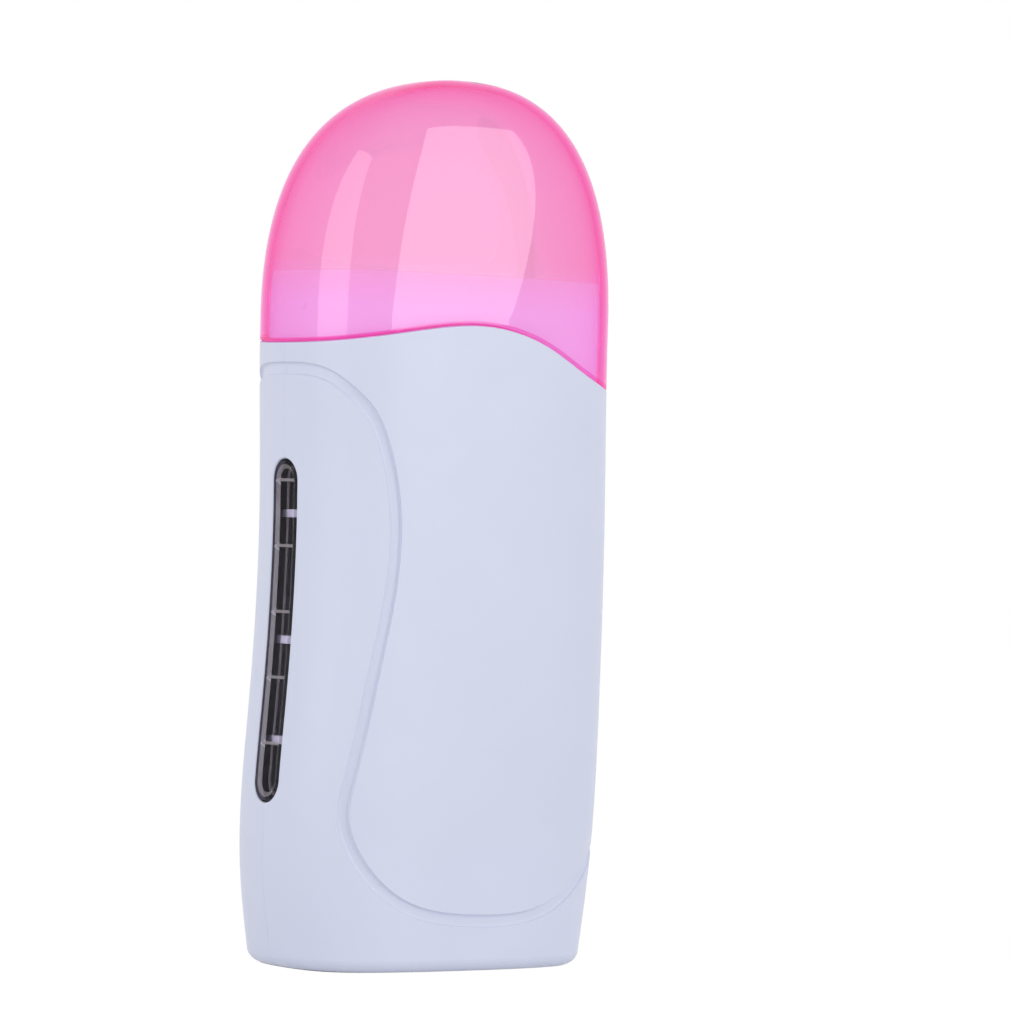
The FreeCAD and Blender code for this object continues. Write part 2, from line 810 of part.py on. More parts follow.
def circle(sketch, name, x, y, radius):
    """A circle whose centre and radius are expressions."""
    centre = Vector(evaluate(x), evaluate(y), 0)
    index = sketch.addGeometry(Part.Circle(centre, Vector(0, 0, 1), evaluate(radius)), False)
    bind(sketch, Sketcher.Constraint("DistanceX", -1, 1, index, 3, centre.x), f"{name}_x", x)
    bind(sketch, Sketcher.Constraint("DistanceY", -1, 1, index, 3, centre.y), f"{name}_y", y)
    bind(sketch, Sketcher.Constraint("Radius", index, evaluate(radius)), f"{name}_radius", radius)


def rounded_rectangle(sketch, name, width, depth, radius):
    """A rounded rectangle centred on the sketch's origin."""
    w = evaluate(width) / 2
    d = evaluate(depth) / 2
    r = evaluate(radius)
    first = sketch.GeometryCount
    lines = (
        (Vector(-w + r, -d, 0), Vector(w - r, -d, 0)),
        (Vector(w, -d + r, 0), Vector(w, d - r, 0)),
        (Vector(w - r, d, 0), Vector(-w + r, d, 0)),
        (Vector(-w, d - r, 0), Vector(-w, -d + r, 0)),
    )
    centres = [Vector(x, y, 0) for x, y in ((w - r, r - d), (w - r, d - r), (r - w, d - r), (r - w, r - d))]
    for i in range(4):
        sketch.addGeometry(Part.LineSegment(*lines[i]), False)
    for i in range(4):
        start = -math.pi / 2 + i * math.pi / 2
        arc = Part.ArcOfCircle(Part.Circle(centres[i], Vector(0, 0, 1), r), start, start + math.pi / 2)
        sketch.addGeometry(arc, False)
    for i in range(4):
        arc = first + 4 + i
        sketch.addConstraint(Sketcher.Constraint("Tangent", first + i, 2, arc, 1))
        sketch.addConstraint(Sketcher.Constraint("Tangent", arc, 2, first + (i + 1) % 4, 1))
    for i in (0, 2):
        sketch.addConstraint(Sketcher.Constraint("Horizontal", first + i))
    for i in (1, 3):
        sketch.addConstraint(Sketcher.Constraint("Vertical", first + i))
    for i in range(1, 4):
        sketch.addConstraint(Sketcher.Constraint("Equal", first + 4, first + 4 + i))
    for axis, start, end, reach, side, expression in (
        ("DistanceX", -1, first + 1, w, "right", width),
        ("DistanceX", first + 3, -1, w, "left", width),
        ("DistanceY", first, -1, d, "front", depth),
        ("DistanceY", -1, first + 2, d, "rear", depth),
    ):
        half_size = Sketcher.Constraint(axis, start, 1, end, 1, reach)
        bind(sketch, half_size, f"{name}_{side}", f"({expression}) / 2")
    bind(sketch, Sketcher.Constraint("Radius", first + 4, r), f"{name}_radius", radius)


def pad(body, sketch, length, reverse=False, midplane=False):
    """Pads a sketch by an expression."""
    feature = body.newObject("PartDesign::Pad", f"{sketch.Name}_pad")
    feature.Profile = sketch
    feature.Reversed = reverse
    if midplane:
        feature.Midplane = True
    feature.setExpression("Length", length)
    body.Tip = feature
    doc.recompute()
    return feature


def pocket(body, sketch, length, reverse=False, midplane=False):
    """Cuts a sketch into the body by an expression, and makes sure that it cut something."""
    before = body.Shape.Volume
    feature = body.newObject("PartDesign::Pocket", f"{sketch.Name}_pocket")
    feature.Profile = sketch
    feature.Reversed = reverse
    if midplane:
        feature.Midplane = True
    feature.setExpression("Length", length)
    body.Tip = feature
    doc.recompute()
    if body.Shape.Volume >= before - 1e-6:
        raise RuntimeError(f"{feature.Name} cuts nothing")
    return feature


# ---------------------------------------------------------------- cartridge chamber

def make_chamber():
    """Aluminium sleeve round the cartridge, with a sight slot towards the window."""
    body = new_body("heating_chamber")
    section = sketch_on(body, "XY_Plane", "section", "Sizes.chamber_bottom")
    rounded_rectangle(
        section, "outer", "Sizes.chamber_width", "Sizes.chamber_depth", "Sizes.chamber_corner")
    rounded_rectangle(
        section,
        "inner",
        "Sizes.chamber_width - 2 * Sizes.chamber_wall",
        "Sizes.chamber_depth - 2 * Sizes.chamber_wall",
        "Sizes.chamber_corner - Sizes.chamber_wall",
    )
    pad(body, section, "Sizes.chamber_top - Sizes.chamber_bottom")
    slot = sketch_on(body, "YZ_Plane", "sight_slot")
    rectangle(
        slot,
        "slot",
        "-Sizes.sight_slot_width / 2",
        "Sizes.sight_slot_bottom",
        "Sizes.sight_slot_width",
        "Sizes.sight_slot_top - Sizes.sight_slot_bottom",
    )
    cut = pocket(body, slot, "Sizes.chamber_width")
    corners = [
        f"Edge{i}" for i, edge in enumerate(cut.Shape.Edges, start=1)
        if edge.BoundBox.XMax < 0
        and abs(edge.BoundBox.XLength - size.chamber_wall) < TOUCH
        and edge.BoundBox.YLength < TOUCH
        and size.sight_slot_bottom - TOUCH < edge.BoundBox.ZMin < size.sight_slot_top + TOUCH
    ]
    fillet = body.newObject("PartDesign::Fillet", "heating_chamber_slot_corners")
    fillet.Base = (cut, corners)
    fillet.setExpression("Radius", "(Sizes.sight_slot_width - Sizes.sight_slot_end_flat) / 2")
    body.Tip = fillet


def make_chamber_floor():
    """Heat-proof floor: a plate on the shelf with a spigot that centres the sleeve."""
    body = new_body("chamber_floor")
    plate = sketch_on(body, "XY_Plane", "plate", "Sizes.chamber_bottom")
    rounded_rectangle(
        plate,
        "plate",
        "Sizes.chamber_width + 2 * Sizes.floor_margin",
        "Sizes.chamber_depth + 2 * Sizes.floor_margin",
        "Sizes.chamber_corner + Sizes.floor_margin",
    )
    pad(body, plate, "Sizes.floor_plate", reverse=True)
    inner = "2 * (Sizes.chamber_wall + Sizes.sleeve_clearance)"
    spigot = sketch_on(body, "XY_Plane", "spigot", "Sizes.chamber_bottom")
    rounded_rectangle(
        spigot,
        "spigot",
        f"Sizes.chamber_width - {inner}",
        f"Sizes.chamber_depth - {inner}",
        "Sizes.chamber_corner - Sizes.chamber_wall - Sizes.sleeve_clearance",
    )
    pad(body, spigot, "Sizes.spigot_height")


# ---------------------------------------------------------------- heater stack

BAR_X = "Sizes.chamber_width / 2"
BAR_OUT = "Sizes.chamber_width / 2 + Sizes.bar_wall"
STACK = "2 * Sizes.mica_wall + 2 * Sizes.electrode_wall + Sizes.ptc_wall"
POCKET_LOW = "Sizes.heater_base + Sizes.land_length"
POCKET_LENGTH = "2 * Sizes.ptc_length + 3 * Sizes.stack_play"


def make_heat_bar():
    """Aluminium bar on the sleeve, with two lands that carry the clamp plate over the heating elements."""
    body = new_body("heat_bar")
    back = sketch_on(body, "XZ_Plane", "back")
    rectangle(back, "back", BAR_X, "Sizes.heater_base", "Sizes.bar_wall", "Sizes.bar_length")
    pad(body, back, "Sizes.bar_width", midplane=True)
    lands = sketch_on(body, "XZ_Plane", "lands")
    rectangle(lands, "low", BAR_OUT, "Sizes.heater_base", STACK, "Sizes.land_length")
    rectangle(lands, "high", BAR_OUT, f"{POCKET_LOW} + {POCKET_LENGTH}", STACK, "Sizes.land_length")
    pad(body, lands, "Sizes.bar_width", midplane=True)
    holes = sketch_on(body, "YZ_Plane", "holes", f"{BAR_OUT} - Sizes.clip_screw_bite")
    for name, height in (
        ("low", "Sizes.heater_base + Sizes.land_length / 2"),
        ("high", f"{POCKET_LOW} + {POCKET_LENGTH} + Sizes.land_length / 2"),
    ):
        circle(holes, name, "0", height, "Sizes.clip_screw_radius + Sizes.screw_clearance")
    pocket(body, holes, f"{STACK} + Sizes.clip_screw_bite + {OVERCUT}", reverse=True)


def make_clamp_plate():
    """Spring-steel plate that presses the elements and the thermostat on the bar."""
    body = new_body("clamp_plate")
    face = sketch_on(body, "YZ_Plane", "face", f"{BAR_OUT} + {STACK}")
    rectangle(
        face,
        "face",
        "-Sizes.bar_width / 2",
        "Sizes.heater_base",
        "Sizes.bar_width",
        "Sizes.bar_length - Sizes.clamp_short",
    )
    pad(body, face, "Sizes.clamp_wall")
    holes = sketch_on(body, "YZ_Plane", "holes", f"{BAR_OUT} + {STACK} - {OVERCUT}")
    for name, height in (
        ("low", "Sizes.heater_base + Sizes.land_length / 2"),
        ("high", f"{POCKET_LOW} + {POCKET_LENGTH} + Sizes.land_length / 2"),
    ):
        circle(holes, name, "0", height, "Sizes.clip_screw_radius + Sizes.screw_clearance")
    pocket(body, holes, f"Sizes.clamp_wall + 2 * {OVERCUT}", reverse=True)


def boxes(label, corners):
    """Compound of Part boxes; each corner pair is (x, y, z, length, width, height) as expressions."""
    parts = []
    for i, bounds in enumerate(corners, start=1):
        box = doc.addObject("Part::Box", f"{label}_{i}")
        for field, expression in zip(
            (".Placement.Base.x", ".Placement.Base.y", ".Placement.Base.z", "Length", "Width", "Height"),
            bounds,
        ):
            box.setExpression(field, expression)
        parts.append(box)
    if len(parts) == 1:
        parts[0].Label = label
        return parts[0]
    group = doc.addObject("Part::Compound", label)
    group.Label = label
    group.Links = parts
    return group


def make_elements():
    """Heating elements with the sheets that insulate them and the electrodes that feed them."""
    low = f"{POCKET_LOW} + Sizes.stack_play"
    length = f"{POCKET_LENGTH} - 2 * Sizes.stack_play"
    width = "Sizes.ptc_width"
    inner_electrode_x = f"{BAR_OUT} + Sizes.mica_wall"
    ptc_x = f"{inner_electrode_x} + Sizes.electrode_wall"
    outer_electrode_x = f"{ptc_x} + Sizes.ptc_wall"
    outer_mica_x = f"{outer_electrode_x} + Sizes.electrode_wall"
    boxes("mica_sheets", [
        (x, "-Sizes.ptc_width / 2 - Sizes.mica_margin", low,
         "Sizes.mica_wall", f"{width} + 2 * Sizes.mica_margin", length)
        for x in (BAR_OUT, outer_mica_x)
    ])
    boxes("ptc_elements", [
        (ptc_x, "-Sizes.ptc_width / 2", f"{low} + {i} * (Sizes.ptc_length + Sizes.stack_play)",
         "Sizes.ptc_wall", width, "Sizes.ptc_length")
        for i in range(2)
    ])
    for label, x, tab_low in (
        ("inner_electrode", inner_electrode_x, f"{low} + {length} - Sizes.tab_height - Sizes.tab_margin"),
        ("outer_electrode", outer_electrode_x, f"{low} + Sizes.tab_margin"),
    ):
        body = new_body(label)
        face = sketch_on(body, "YZ_Plane", "face", x)
        rectangle(face, "face", "-Sizes.ptc_width / 2", low, width, length)
        pad(body, face, "Sizes.electrode_wall")
        tab = sketch_on(body, "YZ_Plane", "tab", x)
        rectangle(
            tab,
            "tab",
            "-Sizes.ptc_width / 2 - Sizes.tab_length",
            tab_low,
            f"Sizes.tab_length + {OVERCUT}",
            "Sizes.tab_height",
        )
        pad(body, tab, "Sizes.electrode_wall")


def revolve(axis_point, axis, profile):
    """Solid of revolution from (radius, distance along the axis) points."""
    direction = Vector(axis)
    direction.normalize()
    side = Vector(0, 0, 1) if abs(direction.z) < 0.5 else Vector(1, 0, 0)
    points = [axis_point + side * radius + direction * along for radius, along in profile]
    points.append(points[0])
    face = Part.Face(Part.makePolygon(points))
    return face.revolve(axis_point, direction, 360)


def cross_recess(centre, axis, across, depth):
    """Cross-shaped recess for a driver, sunk from a head's top along its axis."""
    arms = []
    for turn in (0, 90):
        arm_y = across * RECESS_ARM / 2
        arm = block(-across / 2, across / 2, -arm_y, arm_y, -depth, depth)
        arm.rotate(Vector(), Vector(0, 0, 1), turn)
        arms.append(arm)
    recess = arms[0].fuse(arms[1])
    recess.Placement = FreeCAD.Placement(centre, FreeCAD.Rotation(Vector(0, 0, 1), axis))
    return recess


def screw(seat, axis, radius, length, head_radius, head_height):
    """Pan-head screw: axis points out of the head, seat is the middle of the head's underside."""
    direction = Vector(axis)
    profile = (
        (0, -length),
        (radius * SCREW_TIP, -length),
        (radius, -length + radius),
        (radius, 0),
        (head_radius, 0),
        (head_radius, head_height * SCREW_RIM),
        (head_radius * SCREW_CROWN, head_height),
        (0, head_height),
    )
    top = seat + direction * head_height
    recess = cross_recess(top, direction, head_radius * RECESS_ACROSS, head_height * RECESS_DEPTH)
    return revolve(seat, direction, profile).cut(recess)


def make_screws():
    """Clamp screws and housing screws."""
    clamp_seat = clamp_face + size.clamp_wall
    place_feature("clamp_screws", Part.makeCompound([
        screw(Vector(clamp_seat, 0, height), Vector(1, 0, 0), size.clip_screw_radius,
              size.clamp_wall + stack_wall, size.clip_head_radius, size.clip_head_height)
        for height in clamp_screw_heights
    ]))
    place_feature("housing_screws", Part.makeCompound([
        screw(Vector(x, size.screw_seat, z), Vector(0, 1, 0), size.screw_radius,
              size.screw_seat + size.screw_reach, size.screw_head_radius, size.screw_head_height)
        for x, z in screw_places
    ]))


def make_thermostat():
    """Bimetal thermostat under the clamp plate, with two short leads at its top."""
    low = thermostat_low
    x = bar_face + size.bar_wall
    half = size.thermostat_width / 2
    can = block(x, x + stack_wall, -half, half, low, low + size.thermostat_length)
    can = can.makeFillet(
        size.thermostat_round, [edge for edge in can.Edges if edge.Vertexes[0].Z != edge.Vertexes[1].Z])
    half_wall = size.thermostat_lead_wall / 2
    half_width = size.thermostat_lead_width / 2
    lead_root = low + size.thermostat_length - OVERCUT
    leads = [
        block(thermostat_x - half_wall, thermostat_x + half_wall, y - half_width, y + half_width,
              lead_root, lead_top)
        for y in (-lead_y, lead_y)
    ]
    place_feature("thermostat", can.fuse(leads))


# ---------------------------------------------------------------- mains inlet

def make_inlet():
    """Inlet block trapped between the shells, with two round pins and their solder lugs."""
    body = new_body("inlet_housing")
    block_sketch = sketch_on(body, "XY_Plane", "block", "Sizes.inlet_recess")
    rounded_rectangle(
        block_sketch, "block", "Sizes.inlet_width", "Sizes.inlet_depth", f"Sizes.inlet_depth / 2 - {TOUCH}")
    pad(body, block_sketch, "Sizes.inlet_height - Sizes.inlet_recess")
    flange = sketch_on(body, "XY_Plane", "flange", "Sizes.wall")
    rounded_rectangle(
        flange,
        "flange",
        "Sizes.inlet_width + 2 * Sizes.inlet_flange",
        "Sizes.inlet_depth + 2 * Sizes.inlet_flange",
        "Sizes.inlet_depth / 2",
    )
    pad(body, flange, "Sizes.inlet_flange")
    depth = "Sizes.socket_depth"
    rounds = sketch_on(body, "XY_Plane", "socket_rounds")
    circle(rounds, "left", "-Sizes.pin_pitch / 2", "0", "Sizes.socket_radius")
    circle(rounds, "right", "Sizes.pin_pitch / 2", "0", "Sizes.socket_radius")
    pocket(body, rounds, depth, reverse=True)
    waist = sketch_on(body, "XY_Plane", "socket_waist")
    rectangle(
        waist,
        "waist",
        "-Sizes.pin_pitch / 2",
        "-Sizes.socket_waist / 2",
        "Sizes.pin_pitch",
        "Sizes.socket_waist",
    )
    pocket(body, waist, depth, reverse=True)
    pin_holes = sketch_on(body, "XY_Plane", "pin_holes")
    circle(pin_holes, "left", "-Sizes.pin_pitch / 2", "0", "Sizes.pin_root_radius + Sizes.pin_seat")
    circle(pin_holes, "right", "Sizes.pin_pitch / 2", "0", "Sizes.pin_root_radius + Sizes.pin_seat")
    pocket(body, pin_holes, f"Sizes.inlet_height + {OVERCUT}", reverse=True)

    pins = []
    for x in pin_xs:
        root = Vector(x, 0, size.socket_depth)
        pin = rod(Vector(x, 0, size.pin_tip), root, size.pin_radius)
        tip_edge = [edge for edge in pin.Edges if at_level(edge, size.pin_tip)]
        pin = pin.makeChamfer(size.pin_chamfer, tip_edge)
        pin = pin.fuse(rod(root, Vector(x, 0, size.inlet_height), size.pin_root_radius))
        lug = block(x - size.lug_width / 2, x + size.lug_width / 2, -size.lug_wall / 2, size.lug_wall / 2,
                    size.inlet_height, lug_top)
        pins.append(pin.fuse(lug))
    place_feature("inlet_pins", Part.makeCompound(pins))


# ---------------------------------------------------------------- wiring

def wire_along(points, radius, bend):
    """Tube along straight runs joined by tangent arcs."""
    edges = []
    start = points[0]
    for i in range(1, len(points) - 1):
        into = points[i] - points[i - 1]
        out = points[i + 1] - points[i]
        turn = into.getAngle(out)
        room = min(into.Length, out.Length) * ARC_SHARE
        reach = min(bend * math.tan(turn / 2), room)
        arc_radius = reach / math.tan(turn / 2)
        into.normalize()
        out.normalize()
        arc_start = points[i] - into * reach
        arc_end = points[i] + out * reach
        inward = out - into
        inward.normalize()
        centre = points[i] + inward * math.hypot(arc_radius, reach)
        to_corner = points[i] - centre
        to_corner.normalize()
        middle = centre + to_corner * arc_radius
        if (arc_start - start).Length > TOUCH:
            edges.append(Part.makeLine(start, arc_start))
        edges.append(Part.Arc(arc_start, middle, arc_end).toShape())
        start = arc_end
    edges.append(Part.makeLine(start, points[-1]))
    path = Part.Wire(edges)
    circle_wire = Part.Wire(Part.makeCircle(radius, points[0], points[1] - points[0]))
    return path.makePipeShell([circle_wire], True, False)


def make_wiring():
    """Crimps, mains wires, thermal fuse and the link to the thermostat."""
    crimps = []
    for joint in (
        Vector(pin_xs[0], 0, lug_top),
        Vector(pin_xs[1], 0, lug_top),
        Vector(inner_tab_x, tab_y, inner_tab_top),
        Vector(outer_tab_x, tab_y, outer_tab_low - size.crimp_length),
        Vector(thermostat_x, lead_y, lead_top),
        Vector(thermostat_x, -lead_y, lead_top),
    ):
        crimps.append(rod(joint, joint + Vector(0, 0, size.crimp_length), size.crimp_radius))
    place_feature("crimps", Part.makeCompound(crimps))

    wire_start = lug_top + size.crimp_length
    over = lead_top + size.crimp_length + size.loop_rise
    live_level = wire_start + size.live_rise
    neutral_level = wire_start + size.neutral_rise
    live_x = bar_face + size.bar_wall + size.live_offset
    live_y = fuse_y - size.live_step
    neutral_turn = size.inlet_depth / 2 + size.neutral_clearance
    sleeve_low = size.fuse_base - size.fuse_sleeve_overhang
    sleeve_high = size.fuse_base + size.fuse_length + size.fuse_sleeve_overhang
    side_y = size.bar_width / 2 + size.side_clearance
    place_feature("live_wire", wire_along([
        Vector(pin_xs[1], 0, wire_start),
        Vector(pin_xs[1], 0, live_level),
        Vector(live_x, live_y, live_level),
        Vector(live_x, live_y, sleeve_low - size.live_turn),
        Vector(fuse_x, fuse_y, sleeve_low - size.fuse_lead_in),
        Vector(fuse_x, fuse_y, sleeve_low),
    ], size.wire_radius, size.wire_bend))
    place_feature("neutral_wire", wire_along([
        Vector(pin_xs[0], 0, wire_start),
        Vector(pin_xs[0], 0, neutral_level),
        Vector(pin_xs[0], -neutral_turn, neutral_level),
        Vector(outer_tab_x, tab_y, neutral_level),
        Vector(outer_tab_x, tab_y, outer_tab_low - size.crimp_length),
    ], size.wire_radius, size.wire_bend))
    place_feature("link_wire", wire_along([
        Vector(fuse_x, fuse_y, sleeve_high),
        Vector(fuse_x, fuse_y, sleeve_high + size.link_lead),
        Vector(thermostat_x, side_y, sleeve_high + size.link_turn),
        Vector(thermostat_x, side_y, over),
        Vector(thermostat_x, lead_y, over),
        Vector(thermostat_x, lead_y, lead_top + size.crimp_length),
    ], size.wire_radius, size.wire_bend))
    place_feature("heater_wire", wire_along([
        Vector(thermostat_x, -lead_y, lead_top + size.crimp_length),
        Vector(thermostat_x, -lead_y, over),
        Vector(thermostat_x, -side_y, over),
        Vector(thermostat_x, -side_y, over - size.heater_turn),
        Vector(inner_tab_x, tab_y, inner_tab_top + size.crimp_length + size.tab_lead),
        Vector(inner_tab_x, tab_y, inner_tab_top + size.crimp_length),
    ], size.wire_radius, size.wire_bend))

    fuse_body = rod(
        Vector(fuse_x, fuse_y, size.fuse_base),
        Vector(fuse_x, fuse_y, size.fuse_base + size.fuse_length),
        size.fuse_radius,
    )
    fuse_leads = rod(
        Vector(fuse_x, fuse_y, sleeve_low), Vector(fuse_x, fuse_y, sleeve_high), size.fuse_lead_radius)
    place_feature("thermal_fuse", fuse_body.fuse(fuse_leads))
    bore_radius = size.fuse_radius + size.fuse_sleeve_clearance
    tube = rod(
        Vector(fuse_x, fuse_y, sleeve_low),
        Vector(fuse_x, fuse_y, sleeve_high),
        bore_radius + size.fuse_sleeve_wall,
    )
    bore = rod(
        Vector(fuse_x, fuse_y, sleeve_low - OVERCUT),
        Vector(fuse_x, fuse_y, sleeve_high + OVERCUT),
        bore_radius,
    )
    place_feature("fuse_sleeve", tube.cut(bore))


def make_lamp():
    """Neon indicator lamp on the shelf, its holder, its series resistor and thin wires."""
    base = shelf_top + size.lamp_base_gap
    glass_top = base + size.lamp_length
    lamp = rod(Vector(lamp_x, 0, base), Vector(lamp_x, 0, glass_top), size.lamp_radius)
    lamp = lamp.makeFillet(
        size.lamp_radius * LAMP_CROWN, [edge for edge in lamp.Edges if at_level(edge, glass_top)])
    lead_low = shelf_top - size.lamp_lead_drop
    far_lead = lamp_x - size.lamp_lead_spread
    near_lead = lamp_x + size.lamp_lead_spread
    leads = [
        rod(Vector(x, 0, lead_low), Vector(x, 0, base + OVERCUT), size.lamp_lead_radius)
        for x in (far_lead, near_lead)
    ]
    place_feature("indicator_lamp", lamp.fuse(leads))

    half = size.holder_width / 2
    holder_top = shelf_top + size.holder_height
    holder = block(lamp_x - half, lamp_x + half, -half, half, shelf_top, holder_top)
    holder = holder.makeFillet(
        size.holder_round, [edge for edge in holder.Edges if edge.Vertexes[0].Z != edge.Vertexes[1].Z])
    holder = holder.cut(rod(
        Vector(lamp_x, 0, shelf_top - OVERCUT),
        Vector(lamp_x, 0, holder_top + OVERCUT),
        size.lamp_radius + size.lamp_clearance,
    ))
    place_feature("lamp_holder", holder)

    level = lug_top + size.lamp_wire_rise
    drop = level + size.lamp_wire_drop
    lug_level = size.inlet_height + size.lug_height / 2
    lug_face = size.lug_wall / 2
    rear_y = size.inlet_depth / 2 - size.lamp_wire_inset
    resistor_x = -(size.low_screw_x + pin_xs[1]) / 2 - size.resistor_length / 2
    resistor_end = resistor_x + size.resistor_length
    thin = size.thin_wire_radius
    place_feature("lamp_wires", Part.makeCompound([
        wire_along([
            Vector(far_lead, 0, lead_low),
            Vector(far_lead, 0, drop),
            Vector(far_lead + size.lamp_wire_turn, rear_y, level),
            Vector(pin_xs[0], rear_y, level),
            Vector(pin_xs[0], rear_y, lug_level),
            Vector(pin_xs[0], lug_face, lug_level),
        ], thin, size.wire_bend),
        wire_along([
            Vector(near_lead, 0, lead_low),
            Vector(near_lead, 0, drop),
            Vector(near_lead + size.lamp_wire_turn, -rear_y, level),
            Vector(resistor_x, -rear_y, level),
        ], thin, size.wire_bend),
        wire_along([
            Vector(resistor_end, -rear_y, level),
            Vector(pin_xs[1], -rear_y, level),
            Vector(pin_xs[1], -rear_y, lug_level),
            Vector(pin_xs[1], -lug_face, lug_level),
        ], thin, size.wire_bend),
    ]))
    radius = size.resistor_radius
    waist_start = size.resistor_cap_length + size.resistor_round
    near_end = (
        (0, 0),
        (radius * RESISTOR_END, 0),
        (radius, size.resistor_round),
        (radius, size.resistor_cap_length),
        (radius * RESISTOR_WAIST, waist_start),
    )
    far_end = tuple((reach, size.resistor_length - along) for reach, along in reversed(near_end))
    place_feature("lamp_resistor", revolve(
        Vector(resistor_x, -rear_y, level), Vector(1, 0, 0), near_end + far_end))


# ---------------------------------------------------------------- places of the inner pieces

lamp_x = size.heel_left_tuck - size.body_width / 2 + size.wall + size.lamp_from_wall
lug_top = size.inlet_height + size.lug_height
pin_xs = (-size.pin_pitch / 2, size.pin_pitch / 2)
fuse_reach = size.chamber_corner + size.fuse_radius + size.fuse_sleeve_wall + size.fuse_gap
fuse_turn = math.radians(size.fuse_angle)
fuse_x = size.chamber_width / 2 - size.chamber_corner + fuse_reach * math.cos(fuse_turn)
fuse_y = size.chamber_depth / 2 - size.chamber_corner + fuse_reach * math.sin(fuse_turn)
thermostat_x = bar_face + size.bar_wall + stack_wall / 2
lead_y = size.thermostat_lead_offset
lead_top = thermostat_low + size.thermostat_length + size.thermostat_lead_length
inner_tab_x = bar_face + size.bar_wall + size.mica_wall + size.electrode_wall / 2
outer_tab_x = inner_tab_x + size.electrode_wall + size.ptc_wall
tab_y = -(size.ptc_width / 2 + size.tab_length - size.tab_crimp_inset)
inner_tab_top = pocket_high - size.stack_play - size.tab_margin
outer_tab_low = pocket_low + size.stack_play + size.tab_margin


# ---------------------------------------------------------------- build

front_shell, rear_shell = make_shells()
place_feature("front_shell", front_shell)
place_feature("rear_shell", rear_shell)
place_feature("cap", make_cap())
place_feature("sight_window", make_pane())
place_feature("mouth_ring", make_mouth_ring())
make_chamber()
make_chamber_floor()
make_heat_bar()
make_clamp_plate()
make_elements()
make_screws()
make_thermostat()
make_inlet()
make_wiring()
make_lamp()
doc.recompute()

NODES = (
    "front_shell",
    "rear_shell",
    "cap",
    "sight_window",
    "mouth_ring",
    "heating_chamber",
    "chamber_floor",
    "heat_bar",
    "mica_sheets",
    "ptc_elements",
    "inner_electrode",
    "outer_electrode",
    "clamp_plate",
    "clamp_screws",
    "thermostat",
    "thermal_fuse",
    "fuse_sleeve",
    "crimps",
    "live_wire",
    "neutral_wire",
    "link_wire",
    "heater_wire",
    "indicator_lamp",
    "lamp_holder",
    "lamp_resistor",
    "lamp_wires",
    "inlet_housing",
    "inlet_pins",
    "housing_screws",
)

for item in doc.Objects:
    if "Invalid" in item.State or "Error" in item.State:
        raise RuntimeError(f"{item.Label} did not recompute: {item.State}")
pieces = {}
for node in NODES:
    shape = doc.getObjectsByLabel(node)[0].Shape
    if shape.isNull() or not shape.isValid() or not shape.Solids:
        raise RuntimeError(f"{node} has no valid solid")
    pieces[node] = shape
os.makedirs("parts", exist_ok=True)
for node, shape in pieces.items():
    shape.exportStep(f"parts/{node}.step")
    print(node, len(shape.Solids), "solids", len(shape.Faces), "faces", round(shape.Volume), "mm3")
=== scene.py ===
"""Roll-on wax heater: smooth moulded surfaces, clear cap and pane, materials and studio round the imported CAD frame.

The CAD forms are worked out again here as smooth meshes, in millimetres, and scaled to metres when a piece is made.
X runs right across the wide front face, Y to the rear, Z up.
"""
import math

import bpy
import numpy as np
from mathutils import Matrix, Vector
from mathutils.geometry import delaunay_2d_cdt


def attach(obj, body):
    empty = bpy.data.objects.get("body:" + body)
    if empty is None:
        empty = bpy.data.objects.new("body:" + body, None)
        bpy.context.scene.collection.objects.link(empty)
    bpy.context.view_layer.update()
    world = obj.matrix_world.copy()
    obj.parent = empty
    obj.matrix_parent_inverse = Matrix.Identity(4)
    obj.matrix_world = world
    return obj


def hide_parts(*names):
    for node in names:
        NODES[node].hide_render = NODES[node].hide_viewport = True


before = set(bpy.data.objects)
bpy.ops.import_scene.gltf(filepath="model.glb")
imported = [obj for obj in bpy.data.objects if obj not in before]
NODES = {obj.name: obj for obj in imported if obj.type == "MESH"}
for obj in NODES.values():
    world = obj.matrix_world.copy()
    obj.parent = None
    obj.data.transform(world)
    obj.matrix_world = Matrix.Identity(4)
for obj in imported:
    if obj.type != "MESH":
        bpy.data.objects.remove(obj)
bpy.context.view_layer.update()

MM = 0.001

# ---------------------------------------------------------------- sizes shared with the CAD, in millimetres

HALF = 42.8
TOP = 205.0
STATIONS = (0.0, 22.0, 60.0, 105.0, 150.0)  # heights of the two tucks that follow, which bring the sides in
LEFT_TUCK = (3.3, 0.0, 1.2, 2.7, 1.5)
RIGHT_TUCK = (4.5, 1.5, 0.0, 0.3, 1.2)
FOOT_DEPTH = 48.0
SHOULDER_DEPTH = 50.8
CORNER = 1.54  # weight of the section's corners
DOME = 0.976  # weight of the dome's curve
LEAN = 5.0  # x of the dome's top
FOOT = 3.0  # radius of the foot's rounding
SHOULDER = STATIONS[-1]
WALL = 2.3
CAP_WALL = 1.8
CAP_GAP = 0.15
COLLAR_INSET = 2.1
EDGE_LOW = 133.6
EDGE_HIGH = 147.2
EDGE_MIDDLE = 140.0
EDGE = ((-1.40, 0.50), (-0.96, 0.64), (-0.51, 0.87), (-0.02, 1.00), (0.35, 0.72), (0.62, 0.31), (0.86, 0.05),
        (1.40, -0.10))
GROOVE_LOW = 11.6
GROOVE_HIGH = 136.1
GROOVE = ((-1.15, 1.000), (-0.94, 1.000), (-0.85, 0.973), (-0.72, 0.921), (-0.65, 0.867), (-0.57, 0.705),
          (-0.66, 0.459), (-0.77, 0.265), (-0.80, 0.186), (-0.71, 0.105), (-0.46, 0.030), (0.00, 0.000),
          (0.46, 0.016), (0.67, 0.055), (0.86, 0.115), (1.15, 0.230))
GROOVE_HALF = 1.4
